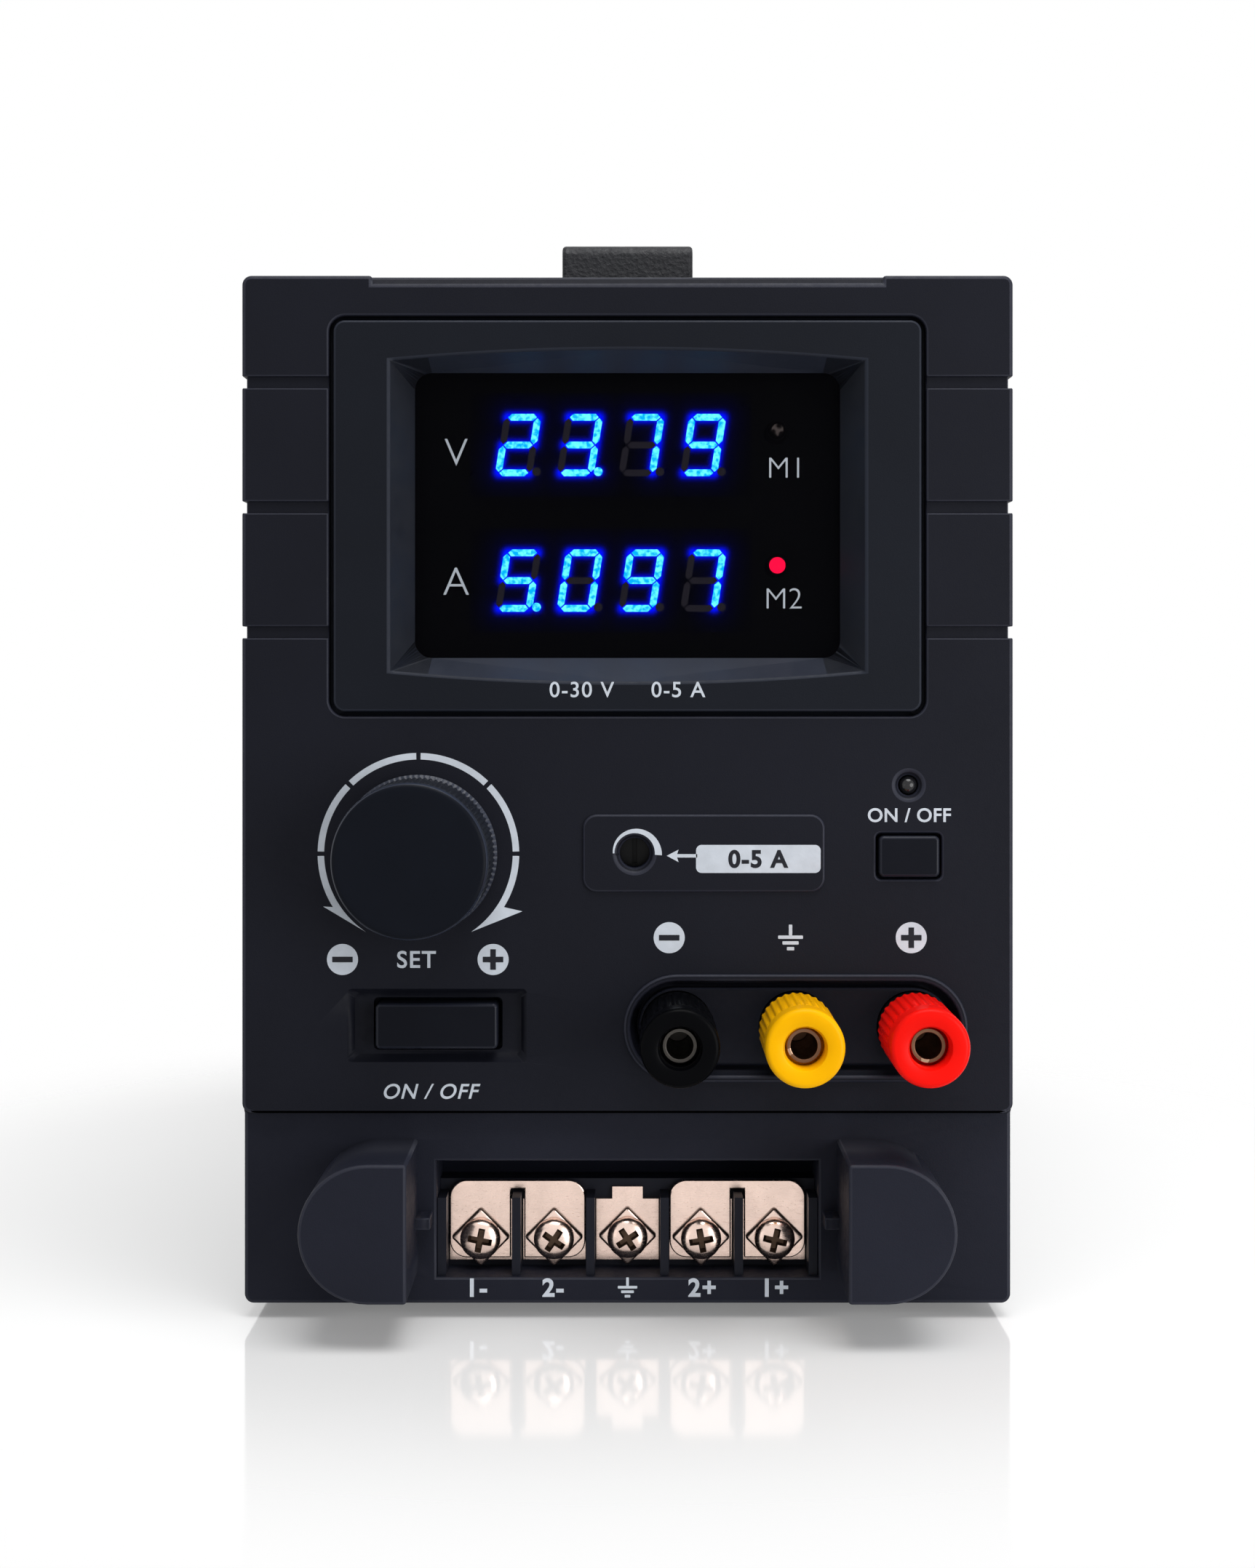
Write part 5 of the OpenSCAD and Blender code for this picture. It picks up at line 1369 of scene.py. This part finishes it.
class SUPPLY_OT_legend(bpy.types.Operator):
    """Prints the dial, the signs and the words on the front"""

    bl_idname = "supply.legend"
    bl_label = "Legend"

    def execute(self, context):
        colours, sizes, words, _ = settings(context)
        ink = printed_ink("Legend ink", colours.ink)
        dark = printed_ink("Dark print", colours.panel)
        self.add_dial(sizes, ink)
        self.add_trimmer_print(sizes, words, ink, dark)
        self.add_signs(sizes, ink, dark)
        self.add_words(sizes, words, ink)
        return {"FINISHED"}

    def lay(self, name, bm, finish, out, sizes):
        """Sets flat print on the front at a distance out."""
        thicken(bm, sizes.print_t, out)
        make_piece(name, bm, [finish], "case")

    def add_dial(self, sizes, ink):
        """Arcs round the knob with gaps between them and an arrow at each end; angles run from the top."""
        centre = front_middle("adjust_knob").xy
        gap = 1.3
        arrow_from, arrow_to, arrow_back = 122.0, 146.0, 119.0
        barbs = {-1: 1.3 * MM, 1: 2.9 * MM}
        bm = bmesh.new()

        def arc(side, radius, start, end, steps=16):
            """Points on an arc at one side of the knob."""
            return arc_points(centre, radius, 90 - side * start, 90 - side * end, steps)

        for side, barb in barbs.items():
            for start, end in ((0, 45), (45, 90), (90, arrow_from + gap)):
                inside = arc(side, sizes.dial_in, start + gap, end - gap)
                flat_band(bm, inside, arc(side, sizes.dial_out, start + gap, end - gap))
            tip = arc(side, sizes.dial_in, arrow_from, arrow_to, 8)
            back = arc(side, sizes.dial_out + barb, arrow_back, arrow_back, 1)[:1]
            foot = arc(side, sizes.dial_out, arrow_from, arrow_from, 1)[:1]
            flat_outline(bm, tip + back + foot)
        self.lay("dial_print", bm, ink, 0, sizes)

    def add_trimmer_print(self, sizes, words, ink, dark):
        """A widening arc over the trimmer's hole, an arrow and a pale plate with dark words."""
        centre = front_middle("trimmer_rotor").xy
        field_out = 0.5 * MM
        steps = 24
        thin, widening = 1.08, 0.27
        bm = bmesh.new()
        inner = arc_points(centre, 3.25 * MM, 180, -4, steps)
        outer = []
        for i, (x, y) in enumerate(inner):
            grow = thin + widening * i / steps
            outer.append((centre.x + (x - centre.x) * grow, centre.y + (y - centre.y) * grow))
        flat_band(bm, inner, outer)
        z = centre.y - 0.4 * MM
        tip, neck, end = 6.3 * MM, 8.2 * MM, 11.2 * MM
        notch = neck - 0.25 * MM
        head, shaft = 1.0 * MM, 0.27 * MM
        arrow = [(tip, z), (neck, z - head), (notch, z - shaft), (end, z - shaft)]
        arrow += [(end, z + shaft), (notch, z + shaft), (neck, z + head)]
        flat_outline(bm, arrow)
        label = (21.0 * MM, 72.2 * MM)
        flat_outline(bm, rounded_outline(label, 20.0 * MM, 4.5 * MM, 0.9 * MM))
        self.lay("trimmer_print", bm, ink, field_out, sizes)
        bm = bmesh.new()
        letters(bm, words.trimmer, label, 2.6 * MM, bold=0.035, spacing=1.1)
        self.lay("trimmer_words", bm, dark, field_out + sizes.print_t, sizes)

    def add_signs(self, sizes, ink, dark):
        """Discs with plus and minus, and an earth sign."""
        bm = bmesh.new()
        marks = bmesh.new()
        long, thick = 3.3 * MM, 0.9 * MM
        arm_h = (long - thick) / 2
        for x, height, plus in (
            (-45.8, 56.0, False),
            (-21.6, 56.0, True),
            (6.7, 59.5, False),
            (45.6, 59.5, True),
        ):
            at = (x * MM, height * MM)
            flat_outline(bm, arc_points(at, sizes.sign_r, 0, 352.5, 47))
            flat_outline(marks, rounded_outline(at, long, thick, 0.06 * MM, 2))
            if plus:
                for side in (-1, 1):
                    arm = (at[0], at[1] + side * (long + thick) / 4)
                    flat_outline(marks, rounded_outline(arm, thick, arm_h, 0.04 * MM, 2))
        self.earth(bm, (26.2 * MM, 59.5 * MM), 4.2 * MM)
        self.lay("sign_discs", bm, ink, 0, sizes)
        self.lay("sign_marks", marks, dark, sizes.print_t, sizes)

    def earth(self, bm, at, tall):
        """An earth sign: a stem over three bars."""
        bar = tall * 0.13
        flat_outline(bm, rounded_outline((at[0], at[1] + tall * 0.29), bar, tall * 0.42, bar * 0.1, 2))
        for i, wide in enumerate((0.95, 0.62, 0.28)):
            level = at[1] + tall * (0.02 - 0.22 * i)
            flat_outline(bm, rounded_outline((at[0], level), tall * wide, bar, bar * 0.2, 2))

    def add_words(self, sizes, words, ink):
        """Words at the knob, the output button and the power key, on the bezel and at the terminals."""
        bm = bmesh.new()
        letters(bm, words.knob, (-33.9 * MM, 56.0 * MM), 2.6 * MM, bold=0.015, spacing=1.1)
        letters(bm, words.output, (45.3 * MM, 79.2 * MM), 2.1 * MM, bold=0.018, spacing=1.05)
        letters(bm, words.power, (-31.4 * MM, 34.8 * MM), 2.3 * MM, bold=0.012, shear=0.25, spacing=1.1)
        self.lay("panel_words", bm, ink, 0, sizes)
        bm = bmesh.new()
        letters(bm, words.range, (0, 99.4 * MM), 2.4 * MM, bold=0.008, spacing=1.1)
        self.lay("bezel_words", bm, ink, BEZEL_PROUD, sizes)
        bm = bmesh.new()
        lower_out = -2.5 * MM
        pitch = 12.05 * MM
        height = 2.6 * MM
        signs = (words.sense_one, words.sense_two, None, words.sense_three, words.sense_four)
        for i, sign in enumerate(signs):
            at = ((i - 2) * pitch, height)
            if sign is None:
                self.earth(bm, at, 3.3 * MM)
            else:
                letters(bm, sign, at, 2.75 * MM, bold=0.03, spacing=1.1)
        self.lay("terminal_words", bm, ink, lower_out, sizes)


class SUPPLY_OT_stage(bpy.types.Operator):
    """Sets the floor, the light and the camera"""

    bl_idname = "supply.stage"
    bl_label = "Stage"

    def execute(self, context):
        _, _, _, stage = settings(context)
        scene = context.scene
        scene.view_settings.view_transform = "Standard"
        self.add_floor()
        self.add_world(scene, stage)
        self.add_lamps(stage)
        lens = bpy.data.cameras.new("Camera")
        lens.lens = stage.lens
        lens.shift_y = stage.shift
        lens.clip_start = 0.01
        camera = bpy.data.objects.new("Camera", lens)
        camera.location = (0, FACE_Y - stage.distance, FOOT_Z + stage.height)
        camera.rotation_euler = (math.pi / 2, 0, 0)
        scene.collection.objects.link(camera)
        scene.camera = camera
        return {"FINISHED"}

    def add_floor(self):
        """A pale polished floor that keeps the object's shadow and fades into the white round it."""
        pale = (0.88, 0.88, 0.88)
        half = 1.2
        bm = bmesh.new()
        bmesh.ops.create_grid(bm, x_segments=8, y_segments=8, size=half)
        mesh = bpy.data.meshes.new("floor")
        bm.to_mesh(mesh)
        bm.free()
        material = new_finish("Pale floor", pale, 0.08, specular=0.8)
        mottle(material, pale, 0.01, noise(material, 8))
        self.fade(material)
        mesh.materials.append(material)
        floor = bpy.data.objects.new("floor", mesh)
        bpy.context.scene.collection.objects.link(floor)

    def fade(self, material):
        """Lifts the floor a little where it is seen, and lets it end softly."""
        lift = 0.18
        fade_from, fade_to = 0.13, 0.22
        nodes = material.node_tree.nodes
        shader = nodes["Principled BSDF"]
        shader.inputs["Emission Color"].default_value = (1, 1, 1, 1)
        path = add_node(material, "LightPath")
        seen = add_node(material, "Math", {1: lift}, operation="MULTIPLY")
        connect(material, path.outputs["Is Camera Ray"], seen.inputs[0])
        connect(material, seen.outputs["Value"], "Emission Strength")
        spot = add_node(material, "TexCoord")
        reach = add_node(material, "VectorMath", operation="LENGTH")
        connect(material, spot.outputs["Object"], reach.inputs[0])
        ends = {"From Min": fade_from, "From Max": fade_to}
        share = add_node(material, "MapRange", ends, interpolation_type="SMOOTHSTEP")
        connect(material, reach.outputs["Value"], share.inputs["Value"])
        clear = add_node(material, "BsdfTransparent")
        mixed = add_node(material, "MixShader")
        connect(material, share.outputs["Result"], mixed.inputs["Fac"])
        connect(material, shader.outputs["BSDF"], mixed.inputs[1])
        connect(material, clear.outputs["BSDF"], mixed.inputs[2])
        connect(material, mixed.outputs["Shader"], nodes["Material Output"].inputs["Surface"])

    def add_world(self, scene, stage):
        """White where the camera, metal and glass see it, and a plain soft light elsewhere."""
        world = bpy.data.worlds.new("Studio")
        world.use_nodes = True
        scene.world = world
        path = add_node(world, "LightPath")
        seen = path.outputs["Is Camera Ray"]
        for ray in ("Is Glossy Ray", "Is Transmission Ray"):
            either = add_node(world, "Math", operation="MAXIMUM")
            connect(world, seen, either.inputs[0])
            connect(world, path.outputs[ray], either.inputs[1])
            seen = either.outputs["Value"]
        strength = add_node(world, "MapRange", {"To Min": stage.ambient, "To Max": 1.0})
        connect(world, seen, strength.inputs["Value"])
        background = world.node_tree.nodes["Background"]
        background.inputs["Color"].default_value = (1, 1, 1, 1)
        connect(world, strength.outputs["Result"], background.inputs["Strength"])

    def add_lamps(self, stage):
        """A large light overhead, and a low one in front at each side, all aimed at the object's middle."""
        middle = Vector((0, 0, 0.09))
        for name, at, size, power in (
            ("key", (0.12, -0.40, 0.92), 0.7, stage.key),
            ("left", (-0.72, -0.78, 0.06), 0.5, 0.08 * stage.fill),
            ("right", (0.38, -0.46, 0.08), 0.4, 0.60 * stage.fill),
        ):
            light = bpy.data.lights.new(name, "AREA")
            light.shape = "DISK"
            light.size = size
            light.energy = power
            lamp = bpy.data.objects.new(name, light)
            lamp.location = at
            aim = middle - Vector(at)
            lamp.rotation_euler = aim.to_track_quat("-Z", "Y").to_euler()
            bpy.context.scene.collection.objects.link(lamp)


OPERATORS = [
    SUPPLY_OT_front_panel,
    SUPPLY_OT_display,
    SUPPLY_OT_controls,
    SUPPLY_OT_posts,
    SUPPLY_OT_terminals,
    SUPPLY_OT_case,
    SUPPLY_OT_legend,
    SUPPLY_OT_stage,
]
GROUPS = {
    "supply_colours": SupplyColours,
    "supply_sizes": SupplySizes,
    "supply_words": SupplyWords,
    "supply_stage": SupplyStage,
}


class SUPPLY_PT_sidebar(bpy.types.Panel):
    """Lists the pieces and their settings"""

    bl_idname = "SUPPLY_PT_sidebar"
    bl_label = "Bench power supply"
    bl_space_type = "VIEW_3D"
    bl_region_type = "UI"
    bl_category = "Supply"

    def draw(self, context):
        for name, group in GROUPS.items():
            box = self.layout.box()
            for key in group.__annotations__:
                box.prop(getattr(context.scene, name), key)
        for operator in OPERATORS:
            self.layout.operator(operator.bl_idname)


def register():
    for group in GROUPS.values():
        bpy.utils.register_class(group)
    for name, group in GROUPS.items():
        setattr(bpy.types.Scene, name, PointerProperty(type=group))
    for item in [*OPERATORS, SUPPLY_PT_sidebar]:
        bpy.utils.register_class(item)


def unregister():
    for item in [SUPPLY_PT_sidebar, *reversed(OPERATORS)]:
        bpy.utils.unregister_class(item)
    for name, group in reversed(GROUPS.items()):
        delattr(bpy.types.Scene, name)
        bpy.utils.unregister_class(group)


def main():
    """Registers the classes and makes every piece."""
    register()
    for operator in OPERATORS:
        family, name = operator.bl_idname.split(".")
        getattr(getattr(bpy.ops, family), name)()


if __name__ == "__main__":
    main()
